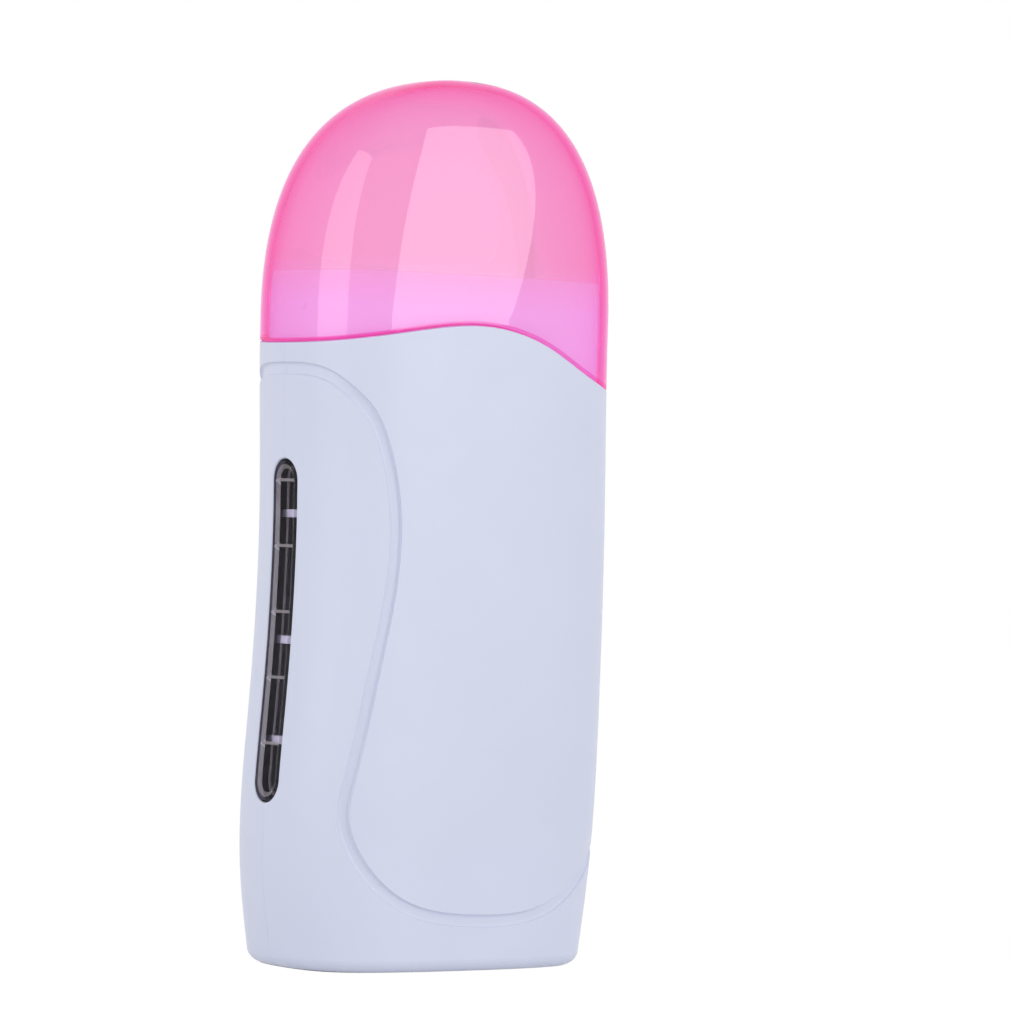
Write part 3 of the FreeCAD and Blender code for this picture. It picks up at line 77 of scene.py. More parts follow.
GROOVE_DEPTH = 0.75
GROOVE_ROUND = 0.7
WINDOW_WIDTH = 10.2
WINDOW_LOW = 37.5
WINDOW_HIGH = 115.9
WINDOW_ROUND = 0.45
SCREWS = ((-24.0, 15.0), (24.0, 15.0), (-33.0, 121.5), (33.0, 121.5))
SCREW_BORE = 2.9
SCREW_SEAT = 9.0

# ---------------------------------------------------------------- sizes of the fine forms that only this file has

GROOVE_LIP = 0.12
GROOVE_TURN = 0.9  # share of the corner's radius at which the lip takes over
EDGE_ROUND = 0.28
BORE_ROUND = 0.2
SEAM_DEPTH = 0.14
SEAM_WIDTH = 0.22
CAP_RIM = 0.5  # radius of the roundings on the cap's lower rim
CAP_BAND = 0.4  # height of straight wall above them that has the rim's deep pink, a painted glow


# ---------------------------------------------------------------- the housing's form

def spline(knots, values, at, flat_end=False):
    """Natural cubic through rows of values at the knots, level at its last knot if asked."""
    k = np.asarray(knots, float)
    v = np.asarray(values, float)
    h = np.diff(k)
    n = len(k)
    slope = np.diff(v, axis=0) / h[:, None]
    a = np.zeros((n, n))
    b = np.zeros_like(v)
    a[0, 0] = a[-1, -1] = 1.0
    for i in range(1, n - 1):
        a[i, i - 1:i + 2] = h[i - 1], 2 * (h[i - 1] + h[i]), h[i]
        b[i] = 6 * (slope[i] - slope[i - 1])
    if flat_end:
        a[-1, -2:] = h[-1], 2 * h[-1]
        b[-1] = -6 * slope[-1]
    m = np.linalg.solve(a, b)
    at = np.asarray(at, float)
    i = np.clip(np.searchsorted(k, at, "right") - 1, 0, n - 2)
    left = (at - k[i])[..., None]
    right = (k[i + 1] - at)[..., None]
    w = h[i][..., None]
    return (m[i] * right**3 + m[i + 1] * left**3) / (6 * w) + (v[i] / w - m[i] * w / 6) * right + (
        v[i + 1] / w - m[i + 1] * w / 6) * left


def distance_along(line):
    """How far along a polyline each of its points lies."""
    return np.r_[0, np.cumsum(np.linalg.norm(np.diff(line, axis=0), axis=1))]


def curve_through(shares, low, high, count):
    """Points (x, z) of the smooth curve through shares of the half width and of a height range."""
    p = np.array([(HALF * x, low + (high - low) * z) for x, z in shares])
    along = distance_along(p)
    return spline(along, p, np.linspace(0, along[-1], count))


EDGES = np.column_stack([np.array(LEFT_TUCK) - HALF, HALF - np.array(RIGHT_TUCK)])
EDGE_CURVE = curve_through(EDGE, EDGE_LOW, EDGE_HIGH, 600)


def section_size(z):
    """Middle, half width and half depth of the level section at height z."""
    z = np.clip(z, 0, SHOULDER)
    edges = spline(STATIONS, EDGES, z, True)
    depth = 0.5 * (FOOT_DEPTH + (SHOULDER_DEPTH - FOOT_DEPTH) * z / SHOULDER)
    return (edges[..., 0] + edges[..., 1]) / 2, (edges[..., 1] - edges[..., 0]) / 2, depth


def unit_section(t):
    """The half section as a unit shape: t 0 is its left end, 1 the middle of the face, 2 its right end."""
    s = np.where(t < 1, t, 2 - t)
    w = 2 * CORNER * s * (1 - s)
    total = (1 - s)**2 + w + s * s
    return np.where(t < 1, -1, 1) * ((1 - s)**2 + w) / total, (w + s * s) / total


REFERENCE_HEIGHT = 80.0
T_TABLE = np.linspace(0, 2, 4001)
X_TABLE, Y_TABLE = unit_section(T_TABLE)
_, REFERENCE_HALF, REFERENCE_DEPTH = section_size(REFERENCE_HEIGHT)
U_TABLE = np.r_[0, np.cumsum(np.hypot(np.diff(X_TABLE) * REFERENCE_HALF, np.diff(Y_TABLE) * REFERENCE_DEPTH))]
U_END = U_TABLE[-1]
V_END = -FOOT * math.pi / 2


def place(u, v, depth, side):
    """Points on the form moved in by depth, on its front half (side -1) or its rear half (side 1).

    U is how far round the reference section a point lies, from the left seam. V is how far up it lies from the top
    of the foot's rounding, and runs on below 0 round the foot to V_END.
    """
    t = np.interp(u, U_TABLE, T_TABLE)
    x, y = unit_section(t)
    turn = np.clip(-v / FOOT, 0, math.pi / 2)
    inset = FOOT - (FOOT - depth) * np.cos(turn)
    z = np.where(v < 0, FOOT - (FOOT - depth) * np.sin(turn), FOOT + v)
    middle, half, half_depth = section_size(z)
    return np.stack([middle + x * (half - inset), side * y * (half_depth - inset), z], axis=-1)


def edge_height(x):
    """Height of the S-shaped top edge at x."""
    return np.interp(x, EDGE_CURVE[:, 0], EDGE_CURVE[:, 1])


def u_of_x(x, z):
    """U of the point on the form that has this x and z."""
    middle, half, _ = section_size(z)
    return np.interp(np.interp(np.clip((x - middle) / half, -1, 1), X_TABLE, T_TABLE), T_TABLE, U_TABLE)


LEFT_TABLE = T_TABLE <= 1


def left_t(y, z, inset):
    """Section place on the left-hand side for a point with this y and z on the form moved in by inset."""
    _, _, half_depth = section_size(z)
    return np.interp(np.abs(y) / (half_depth - inset), Y_TABLE[LEFT_TABLE], T_TABLE[LEFT_TABLE])


def left_x(y, z, inset):
    """X of the left-hand side at y and z on the form moved in by inset."""
    middle, half, _ = section_size(z)
    x, _ = unit_section(left_t(y, z, inset))
    return middle + x * (half - inset)


def depth_below(p, highest=-1.0, deepest=23.0, halvings=26):
    """How far under the outer form each point lies, measured as the inset of the form that passes through it."""
    middle, half, half_depth = section_size(p[:, 2])
    low = np.full(len(p), highest)
    high = np.full(len(p), deepest)
    for _ in range(halvings):
        inset = (low + high) / 2
        x = np.abs(p[:, 0] - middle) / (half - inset)
        y = np.abs(p[:, 1]) / (half_depth - inset)
        inside = (x < 1) & (y < 1) & ((x + y < 1) | ((x + y - 1)**2 < 4 * CORNER**2 * (1 - x) * (1 - y)))
        low = np.where(inside, inset, low)
        high = np.where(inside, high, inset)
    return low


# ---------------------------------------------------------------- mesh helpers

SLOT_SIDE_POINTS = 60


def slot_ends(grow):
    """Radius of the window slot's round ends when grown by grow, and the heights of their centres."""
    return WINDOW_WIDTH / 2 + grow, WINDOW_LOW + WINDOW_WIDTH / 2, WINDOW_HIGH - WINDOW_WIDTH / 2


def slot_line(grow, count=30):
    """Outline of the window slot grown by grow, as (y, z) points, closed."""
    r, low, high = slot_ends(grow)
    turn = np.linspace(0, math.pi, count)
    upper = np.column_stack([r * np.cos(turn), high + r * np.sin(turn)])
    lower = np.column_stack([-r * np.cos(turn), low - r * np.sin(turn)])
    side = np.linspace(0, 1, SLOT_SIDE_POINTS)[1:-1, None]
    return np.vstack([upper, upper[-1] + (lower[0] - upper[-1]) * side, lower,
                      lower[-1] + (upper[0] - lower[-1]) * side, upper[:1]])


def slot_inside(y, z):
    """How far inside the window slot's outline each (y, z) place is."""
    radius, low, high = slot_ends(0)
    beyond = np.maximum.reduce([low - z, z - high, np.zeros_like(z)])
    return radius - np.hypot(y, beyond)


def nearest(points, line, block=4000):
    """Distance from each point to a polyline, and the unit direction away from it."""
    a = line[:-1]
    d = np.diff(line, axis=0)
    size2 = (d**2).sum(1)
    out = np.empty(len(points))
    away = np.empty((len(points), 2))
    for start in range(0, len(points), block):
        p = points[start:start + block, None, :]
        k = np.clip(((p - a) * d).sum(2) / size2, 0, 1)
        foot = a + k[..., None] * d
        gap = p - foot
        dist2 = (gap**2).sum(2)
        i = dist2.argmin(1)
        rows = np.arange(len(i))
        g = gap[rows, i]
        length = np.sqrt(dist2[rows, i])
        out[start:start + block] = length
        away[start:start + block] = g / np.maximum(length, 1e-9)[:, None]
    return out, away


def offset_line(line, distance):
    """A polyline moved sideways."""
    along = np.gradient(line, axis=0)
    along /= np.linalg.norm(along, axis=1, keepdims=True)
    return line + distance * np.column_stack([-along[:, 1], along[:, 0]])


def inside_line(points, line):
    """Which points lie inside a closed polyline."""
    x, y = points[:, 0], points[:, 1]
    hit = np.zeros(len(points), bool)
    for (x0, y0), (x1, y1) in zip(line[:-1], line[1:]):
        if y0 != y1:
            hit ^= ((y0 > y) != (y1 > y)) & (x < (x1 - x0) * (y - y0) / (y1 - y0) + x0)
    return hit


def triangulate(lines, loose):
    """Vertices and triangles of the plane mesh that keeps every line as mesh edges."""
    points = [Vector(p) for line in lines for p in line] + [Vector(p) for p in loose]
    edges = []
    start = 0
    for line in lines:
        edges += [(start + i, start + i + 1) for i in range(len(line) - 1)]
        start += len(line)
    result = delaunay_2d_cdt(points, edges, [], 0, 1e-4)
    return np.array([tuple(p) for p in result[0]]), np.array(result[2])


def grid(across, up):
    """Every pair of a value from across with a value from up."""
    return np.stack(np.meshgrid(across, up), axis=-1).reshape(-1, 2)


def only_used(points, faces):
    """The points that the faces use, and the faces renumbered to them."""
    used, back = np.unique(faces, return_inverse=True)
    return points[used], back.reshape(-1, 3)


def smooth_normals(points, faces):
    """Area-weighted vertex normals."""
    n = np.cross(points[faces[:, 1]] - points[faces[:, 0]], points[faces[:, 2]] - points[faces[:, 0]])
    total = np.zeros_like(points)
    for i in range(3):
        np.add.at(total, faces[:, i], n)
    return total / np.maximum(np.linalg.norm(total, axis=1, keepdims=True), 1e-12)


def wall_piece(rows, flip):
    """A strip of wall between rows of equal numbers of points, with its own smooth normals."""
    points = np.concatenate(rows)
    n = len(rows[0])
    faces = []
    for r in range(len(rows) - 1):
        for i in range(n - 1):
            a, b, c, d = r * n + i, r * n + i + 1, (r + 1) * n + i + 1, (r + 1) * n + i
            faces += [(a, b, c), (a, c, d)]
    faces = np.array(faces)
    if flip:
        faces = faces[:, ::-1]
    return points, faces, smooth_normals(points, faces)[faces]


def make_piece(name, body, materials, points, faces, normals=None, finish=None):
    """A mesh object from millimetre points that rides on a body.

    Normals are one per face corner, and finish says which of the materials each face has.
    """
    mesh = bpy.data.meshes.new(name)
    mesh.from_pydata((points * MM).tolist(), [], faces)
    for material in materials:
        mesh.materials.append(material)
    if finish is not None:
        mesh.polygons.foreach_set("material_index", np.asarray(finish, np.int32))
    mesh.polygons.foreach_set("use_smooth", [True] * len(mesh.polygons))
    if normals is not None:
        mesh.normals_split_custom_set(normals.reshape(-1, 3).tolist())
    mesh.update()
    piece = bpy.data.objects.new(name, mesh)
    bpy.context.scene.collection.objects.link(piece)
    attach(piece, body)
    return piece


# ---------------------------------------------------------------- shader nodes

def add_node(tree, kind, inputs, **settings):
    """A shader node with its settings, and with each input set to a value or linked to another node's output."""
    node = tree.nodes.new("ShaderNode" + kind)
    for name, value in settings.items():
        setattr(node, name, value)
    for socket, value in inputs.items():
        if isinstance(value, bpy.types.NodeSocket):
            tree.links.new(value, node.inputs[socket])
        else:
            node.inputs[socket].default_value = value
    return node


def add_math(tree, operation, first, second, clamp=False):
    """The result of one sum on two numbers."""
    return add_node(tree, "Math", {0: first, 1: second}, operation=operation, use_clamp=clamp).outputs[0]


def find_node(tree, kind):
    """The tree's first node of a kind."""
    return next(node for node in tree.nodes if node.type == kind)


def empty_tree(owner):
    """The node tree of a material or a world, with nothing in it."""
    owner.use_nodes = True
    owner.node_tree.nodes.clear()
    return owner.node_tree


def new_material(name):
    """A material with one shader on its output, as the material, its node tree and the shader."""
    material = bpy.data.materials.new(name)
    tree = empty_tree(material)
    output = add_node(tree, "OutputMaterial", {})
    shader = add_node(tree, "BsdfPrincipled", {})
    tree.links.new(shader.outputs["BSDF"], output.inputs["Surface"])
    return material, tree, shader


def object_position(tree, stretch=(1, 1, 1)):
    """The object's own coordinates, stretched."""
    where = add_node(tree, "TexCoord", {})
    return add_node(tree, "Mapping", {"Scale": stretch, "Vector": where.outputs["Object"]}).outputs["Vector"]


def noise(tree, position, scale, detail=2.0, roughness=0.5):
    """A noise texture's value."""
    inputs = {"Vector": position, "Scale": scale, "Detail": detail, "Roughness": roughness}
    return add_node(tree, "TexNoise", inputs).outputs["Fac"]


def remap(tree, value, low, high, from_low=0.3, from_high=0.7):
    """A value moved from one range to another. The first range is a noise's usual one unless it is given."""
    inputs = {"Value": value, "From Min": from_low, "From Max": from_high, "To Min": low, "To Max": high}
    return add_node(tree, "MapRange", inputs).outputs["Result"]


def blend(tree, share, first, second):
    """A colour between two colours with alpha."""
    return add_node(tree, "Mix", {0: share, 6: first, 7: second}, data_type="RGBA").outputs[2]


def bump(tree, shader, height, distance, strength=1.0):
    """Bump on the shader's normal."""
    node = add_node(tree, "Bump", {"Height": height, "Distance": distance, "Strength": strength})
    tree.links.new(node.outputs["Normal"], shader.inputs["Normal"])


# ---------------------------------------------------------------- materials

CLOUD_SCALE = 38.0
MARK_SCALE = 210.0
HAZE_SCALE = 240.0
WAVE_SCALE = 55.0
WAVE_HEIGHT = 0.00004
GLOSS_SPREAD = 0.06


def surface(name, color, roughness, metallic=0.0, grain=2600.0, grain_height=0.00001, vary=0.03,
            stretch=(1, 1, 1)):
    """Moulded, drawn or cast surface: fine grain, uneven gloss and slight colour change."""
    material, tree, shader = new_material(name)
    shader.inputs["Metallic"].default_value = metallic
    position = object_position(tree, stretch)
    cloud = noise(tree, position, CLOUD_SCALE, 3.0)
    darker = (*(c * (1 - vary) for c in color), 1)
    lighter = (*(min(1.0, c * (1 + vary)) for c in color), 1)
    tree.links.new(blend(tree, remap(tree, cloud, 0, 1), darker, lighter), shader.inputs["Base Color"])
    marks = noise(tree, position, MARK_SCALE, 4.0, 0.6)
    tree.links.new(remap(tree, marks, roughness - GLOSS_SPREAD, roughness + GLOSS_SPREAD),
                   shader.inputs["Roughness"])
    bump(tree, shader, noise(tree, position, grain), grain_height)
    return material


def clear_plastic(name, ior, roughness, tint=(1, 1, 1), clear=1.0, coat=0.0, stretch=(1, 1, 1)):
    """Clear moulded plastic, with a tint on its surface and a share of the light that goes through."""
    material, tree, shader = new_material(name)
    shader.inputs["Base Color"].default_value = (*tint, 1)
    shader.inputs["Transmission Weight"].default_value = clear
    shader.inputs["IOR"].default_value = ior
    shader.inputs["Coat Weight"].default_value = coat
    shader.inputs["Coat Roughness"].default_value = 0.02
    shader.inputs["Coat IOR"].default_value = 2.0
    position = object_position(tree, stretch)
    haze = noise(tree, position, HAZE_SCALE, 3.0)
    tree.links.new(remap(tree, haze, roughness * 0.5, roughness * 1.5), shader.inputs["Roughness"])
    bump(tree, shader, noise(tree, position, WAVE_SCALE, 1.0), WAVE_HEIGHT, 0.5)
    return material


def tint_cap_with_painted_light(material, below, above, low, high, rim):
    """Gives the cap a tint that changes between two heights in millimetres, and another on its rim's faces. The
    lighter tint below is painted light, so that the collar behind it reads brighter; the rim's deep pink is a painted
    glow of light guided through the wall.
    """
    tree = material.node_tree
    split = add_node(tree, "SeparateXYZ", {0: object_position(tree)})
    share = remap(tree, split.outputs["Z"], 0, 1, low * MM, high * MM)
    by_height = blend(tree, share, (*below, 1), (*above, 1))
    painted_glow_faces = add_node(tree, "Attribute", {}, attribute_name="rim")
    tree.links.new(blend(tree, painted_glow_faces.outputs["Fac"], by_height, (*rim, 1)),
                   find_node(tree, "BSDF_PRINCIPLED").inputs["Base Color"])


def dye(material, through, thickness, headroom=1.1):
    """Dyes a clear plastic: of each colour the share `through` is left after a thickness in millimetres.

    Headroom over the strongest absorption keeps all three parts of the absorption colour above 0.
    """
    tree = material.node_tree
    taken = [-math.log(share) / (thickness * MM) for share in through]
    density = max(taken) * headroom
    color = (*(1 - k / density for k in taken), 1)
    absorb = add_node(tree, "VolumeAbsorption", {"Color": color, "Density": density})
    tree.links.new(absorb.outputs["Volume"], find_node(tree, "OUTPUT_MATERIAL").inputs["Volume"])


HOUSING = surface("housing_plastic", (0.665, 0.70, 0.85), 0.40, grain=3200.0, grain_height=0.000006, vary=0.012)
RING = surface("ring_plastic", (0.66, 0.69, 0.82), 0.42, grain=3000.0, grain_height=0.000008, vary=0.015)
# The collar is moulded with the housing, but its colour is lighter: painted light that stands in for the light that
# reaches it under the cap.
COLLAR_PAINTED_LIGHT = surface("collar_plastic_painted_light", (0.84, 0.875, 0.94), 0.36, grain=3200.0, grain_height=0.000006, vary=0.008)
CAP = clear_plastic("cap_pink", 1.01, 0.02, coat=0.52)
# The lighter tint below 151 mm is painted light: it makes the collar seen through it read brighter, in place of more
# light under the cap.
tint_cap_with_painted_light(CAP, below=(0.98, 0.90, 1.0), above=(0.98, 0.82, 0.875), low=151.0, high=163.0, rim=(0.97, 0.18, 0.62))
dye(CAP, (0.992, 0.72, 0.905), CAP_WALL)
# The pane is lightly smoked; the rest of this dark tint on its margin and flange is painted shade, for the dark gap
# seen through the margin.
PANE_PAINTED_SHADE = clear_plastic("window_clear_painted_shade", 1.04, 0.03, tint=(0.40, 0.37, 0.41), coat=0.08, stretch=(1, 1, 0.12))
DISH = clear_plastic("window_dish", 1.04, 0.03, tint=(0.88, 0.83, 0.87), coat=0.07, stretch=(1, 1, 0.12))
# The bevel's pale, partly frosted share is a painted reflection: it stands in for the light band that the slope
# reflects.
BEVEL_PAINTED_REFLECTION = clear_plastic("window_bevel_painted_reflection", 1.04, 0.05, tint=(1.0, 0.93, 0.97), clear=0.88, coat=0.2)
SCALE = clear_plastic("window_scale", 1.04, 0.4, tint=(0.45, 0.41, 0.44), clear=0.45)
CHAMBER = surface("black_anodised", (0.014, 0.013, 0.016), 0.24, metallic=0.2, grain=1500.0,
                  grain_height=0.00002, vary=0.12, stretch=(1, 1, 0.08))
BLACK = surface("heatproof_black", (0.022, 0.022, 0.024), 0.45, grain=2200.0, grain_height=0.00002, vary=0.1)
METAL_BAR = surface("cast_aluminium", (0.62, 0.62, 0.64), 0.38, metallic=1.0, grain=1600.0, grain_height=0.00003)
MICA = surface("mica_sheet", (0.52, 0.42, 0.27), 0.3, grain=900.0, grain_height=0.00004, vary=0.2)
CERAMIC = surface("heater_ceramic", (0.12, 0.11, 0.11), 0.6, grain=2500.0, grain_height=0.00003, vary=0.1)
BRASS = surface("contact_brass", (0.78, 0.62, 0.30), 0.26, metallic=1.0, grain=2400.0, grain_height=0.00001,
                stretch=(1, 1, 0.2))
PINS = surface("pin_nickel", (0.72, 0.69, 0.62), 0.2, metallic=1.0, grain=2800.0, grain_height=0.000008,
               stretch=(1, 1, 0.15))
STEEL = surface("zinc_steel", (0.62, 0.62, 0.63), 0.3, metallic=1.0, grain=2000.0, grain_height=0.00002)
SLEEVE = surface("glass_fibre", (0.78, 0.75, 0.66), 0.7, grain=1400.0, grain_height=0.00006, vary=0.1)
BROWN = surface("wire_brown", (0.17, 0.075, 0.035), 0.42, vary=0.08)
BLUE = surface("wire_blue", (0.03, 0.12, 0.46), 0.42, vary=0.08)
WHITE = surface("wire_white", (0.78, 0.78, 0.76), 0.42, vary=0.04)
LAMP = clear_plastic("lamp_glass", 1.5, 0.02, tint=(1.0, 0.95, 0.92))
RESISTOR = surface("resistor_lacquer", (0.5, 0.4, 0.25), 0.3, vary=0.1)

CARRIED = {
    "mouth_ring": RING, "heating_chamber": CHAMBER, "chamber_floor": BLACK, "heat_bar": METAL_BAR,
    "mica_sheets": MICA, "ptc_elements": CERAMIC, "inner_electrode": BRASS, "outer_electrode": BRASS,
    "clamp_plate": STEEL, "clamp_screws": STEEL, "thermostat": STEEL, "thermal_fuse": STEEL,
    "fuse_sleeve": SLEEVE, "crimps": BRASS, "live_wire": BROWN, "neutral_wire": BLUE, "link_wire": WHITE,
    "heater_wire": WHITE, "indicator_lamp": LAMP, "lamp_holder": BLACK, "lamp_resistor": RESISTOR,
    "lamp_wires": WHITE, "inlet_housing": BLACK, "inlet_pins": PINS, "housing_screws": STEEL,
}


def finish_carried():
    """Gives the CAD pieces that are shown as they are their materials."""
    for node, material in CARRIED.items():
        materials = NODES[node].data.materials
        materials.clear()
        materials.append(material)


finish_carried()


# ---------------------------------------------------------------- housing halves

def groove_line(count=330):
    """The decorative groove's middle line as (u, v), from the left seam to the right one."""
    p = curve_through(GROOVE, GROOVE_LOW, GROOVE_HIGH, 900)
    middle, half, _ = section_size(p[:, 1])
    p = p[np.abs(p[:, 0] - middle) < half]
    line = np.column_stack([u_of_x(p[:, 0], p[:, 1]), p[:, 1] - FOOT])
    line[0, 0] = 0.0
    line[-1, 0] = U_END
    along = distance_along(line)
    even = np.linspace(0, along[-1], count)
    return np.column_stack([np.interp(even, along, line[:, 0]), np.interp(even, along, line[:, 1])])


BEYOND = 5  # how far lines run on past the seams, so that they cut the mesh cleanly there
GROOVE_UV = groove_line()
LONG_GROOVE = np.vstack([GROOVE_UV[0] - (BEYOND, 0), GROOVE_UV, GROOVE_UV[-1] + (BEYOND, 0)])


def top_line(count=260):
    """The S-shaped top edge as (u, v) at even u.

    X at a u changes a little with the height, and the height with x, so the height is found in a few rounds.
    """
    u = np.linspace(0, U_END, count)
    z = np.full_like(u, EDGE_MIDDLE)
    for _ in range(4):
        z = edge_height(place(u, z - FOOT, 0.0, -1)[:, 0])
    return np.column_stack([u, z - FOOT])


TOP_UV = top_line()


def top_v(u):
    """V of the top edge at u."""
    return np.interp(u, TOP_UV[:, 0], TOP_UV[:, 1])


def rounding(t, radius, steepest=8.0):
    """Depth and its slope at a distance t from an edge rounded with this radius."""
    k = np.clip(radius - t, 0, radius)
    root = np.sqrt(np.maximum(radius**2 - k**2, 1e-9))
    return radius - root, -np.minimum(k / root, steepest)


def groove_profile(distance):
    """Depth and its slope at a distance from the groove's middle line: flat, then a hollow corner and a soft lip."""
    flat = GROOVE_HALF - GROOVE_ROUND
    turn = flat + GROOVE_TURN * GROOVE_ROUND
    end = GROOVE_HALF + GROOVE_LIP
    x = np.clip(distance - flat, 0, turn - flat)
    root = np.sqrt(GROOVE_ROUND**2 - x**2)
    depth = GROOVE_DEPTH - GROOVE_ROUND + root
    slope = -x / root
    run = end - turn
    k = np.clip((distance - turn) / run, 0, 1)
    lip_depth = (2 * k**3 - 3 * k**2 + 1) * depth + (k**3 - 2 * k**2 + k) * slope * run
    lip_slope = (6 * k**2 - 6 * k) * depth / run + (3 * k**2 - 4 * k + 1) * slope
    outside = distance > turn
    return np.where(outside, lip_depth, depth), np.where(outside, lip_slope, slope)


def slot_uv(grow):
    """One half's part of the window slot's outline grown by grow, as (u, v)."""
    r, low, high = slot_ends(grow)
    turn = np.linspace(0, math.pi / 2, 24)
    side = np.linspace(low, high, SLOT_SIDE_POINTS)[1:-1]
    y = np.r_[r * np.sin(turn), np.full_like(side, r), r * np.cos(turn)]
    z = np.r_[low - r * np.cos(turn), side, high + r * np.sin(turn)]
    u = np.interp(left_t(y, z, 0.0), T_TABLE, U_TABLE)
    return np.column_stack([u, z - FOOT])


def bore_uv(centre, radius):
    """A screw bore's outline on the rear half as (u, v), closed."""
    turn = np.linspace(0, 2 * math.pi, 49)
    x = centre[0] + radius * np.cos(turn)
    z = centre[1] + radius * np.sin(turn)
    return np.column_stack([u_of_x(x, z), z - FOOT])


ROUND_STEPS = (0.0, 0.04, 0.14, 0.32, 0.6, 1.0)  # mesh lines across a rounded edge, as shares of its radius
GROOVE_STEPS = (0, 0.35, 0.7, 0.82, 0.94, 1.06, 1.16, 1.25, 1.33, 1.37, 1.41, 1.45, 1.49, 1.53, 1.7, 2.3)
FACE_COLUMNS = np.interp(np.linspace(0, 2, 190), T_TABLE, U_TABLE)
FACE_ROWS = np.r_[np.linspace(V_END, 0, 10)[1:-1], np.linspace(0, 146, 84)[1:]]
ABOVE_TOP = 160
CLEAR_OF_LINES = 0.4
CLEAR_OF_SEAM = 0.5
CLEAR_OF_GROOVE = 2.8


def skin_lines(bores):
    """The (u, v) lines that a half's skin has as mesh edges."""
    lines = [TOP_UV - (0, EDGE_ROUND * k) for k in ROUND_STEPS]
    tall = np.linspace(V_END, ABOVE_TOP, 110)
    for u in (0.0, SEAM_WIDTH / 3, SEAM_WIDTH, U_END - SEAM_WIDTH, U_END - SEAM_WIDTH / 3, U_END):
        lines.append(np.column_stack([np.full_like(tall, u), tall]))
    for v in (V_END, 0.0):
        lines.append(np.column_stack([FACE_COLUMNS, np.full_like(FACE_COLUMNS, v)]))
    for distance in GROOVE_STEPS:
        for sign in ((1,) if distance == 0 else (1, -1)):
            lines.append(offset_line(LONG_GROOVE, sign * distance))
    lines += [slot_uv(WINDOW_ROUND * k) for k in ROUND_STEPS]
    lines += [bore_uv(centre, SCREW_BORE + BORE_ROUND * k) for centre in bores for k in ROUND_STEPS]
    return lines


def skin_filling(bores):
    """The loose (u, v) points of a half's skin, clear of its lines."""
    loose = grid(FACE_COLUMNS, FACE_ROWS)
    keep = (loose[:, 0] > CLEAR_OF_SEAM) & (loose[:, 0] < U_END - CLEAR_OF_SEAM)
    keep &= loose[:, 1] < top_v(loose[:, 0]) - EDGE_ROUND - CLEAR_OF_LINES
    keep &= nearest(loose, GROOVE_UV)[0] > CLEAR_OF_GROOVE
    keep &= nearest(loose, slot_uv(0))[0] > WINDOW_ROUND + CLEAR_OF_LINES
    for centre in bores:
        keep &= nearest(loose, bore_uv(centre, SCREW_BORE))[0] > BORE_ROUND + CLEAR_OF_LINES
    return loose[keep]


def skin_mesh(bores):
    """The (u, v) points and triangles of a half's skin, with its openings cut out."""
    uv, faces = triangulate(skin_lines(bores), skin_filling(bores))
    middle = uv[faces].mean(1)
    u, v = middle[:, 0], middle[:, 1]
    inside = (u > 0) & (u < U_END) & (v > V_END) & (v < top_v(u))
    slot = slot_uv(0)
    closed = np.vstack([slot, (-BEYOND, slot[-1, 1]), (-BEYOND, slot[0, 1]), slot[0]])
    inside &= ~inside_line(middle, closed)
    for centre in bores:
        inside &= ~inside_line(middle, bore_uv(centre, SCREW_BORE))
    return only_used(uv, faces[inside])


def skin_relief(uv, bores):
    """How deep the skin lies under the plain form at each (u, v), and the depth's slopes along u and v."""
    distance, away = nearest(uv, LONG_GROOVE)
    depth, slope = groove_profile(distance)
    gradient = slope[:, None] * away
    for at, direction in ((0.0, 1), (U_END, -1)):
        k = np.clip(1 - direction * (uv[:, 0] - at) / SEAM_WIDTH, 0, 1)
        depth += SEAM_DEPTH * k**2
        gradient[:, 0] += -direction * 2 * SEAM_DEPTH * k / SEAM_WIDTH
    rise = np.gradient(TOP_UV[:, 1], TOP_UV[:, 0])
    lean = np.interp(uv[:, 0], TOP_UV[:, 0], rise)
    short = 1 / np.hypot(1, lean)
    d, s = rounding(top_v(uv[:, 0]) - uv[:, 1], EDGE_ROUND)
    depth += d
    gradient += (s * short)[:, None] * np.column_stack([lean, -np.ones_like(lean)])
    openings = [(slot_uv(0), WINDOW_ROUND)] + [(bore_uv(centre, SCREW_BORE), BORE_ROUND) for centre in bores]
    for line, radius in openings:
        t, away = nearest(uv, line)
        d, s = rounding(t, radius)
        depth += d
        gradient += s[:, None] * away
    return depth, gradient


def skin_normals(uv, depth, gradient, side, step=0.01):
    """Normals of the form moved in by a depth that changes with this gradient."""
    u, v = uv[:, 0], uv[:, 1]
    low_u = np.clip(u - step, 0, U_END)
    high_u = np.clip(u + step, 0, U_END)
    low_v = np.maximum(v - step, V_END)
    by_u = (place(high_u, v, depth, side) - place(low_u, v, depth, side)) / (high_u - low_u)[:, None]
    by_v = (place(u, v + step, depth, side) - place(u, low_v, depth, side)) / (v + step - low_v)[:, None]
    by_depth = (place(u, v, depth + step, side) - place(u, v, depth - step, side)) / (2 * step)
    normal = np.cross(by_u + by_depth * gradient[:, :1], by_v + by_depth * gradient[:, 1:])
    normal *= -side
    return normal / np.linalg.norm(normal, axis=1, keepdims=True)


def skin(side):
    """The outer skin of one half with its groove, seam, rounded edges and openings."""
    bores = SCREWS if side > 0 else ()
    uv, faces = skin_mesh(bores)
    depth, gradient = skin_relief(uv, bores)
    normal = skin_normals(uv, depth, gradient, side)
    if side > 0:
        faces = faces[:, ::-1]
    return place(uv[:, 0], uv[:, 1], depth, side), faces, normal[faces]


LEDGE_OVERLAP = 0.1  # how far the ledge runs on into the collar


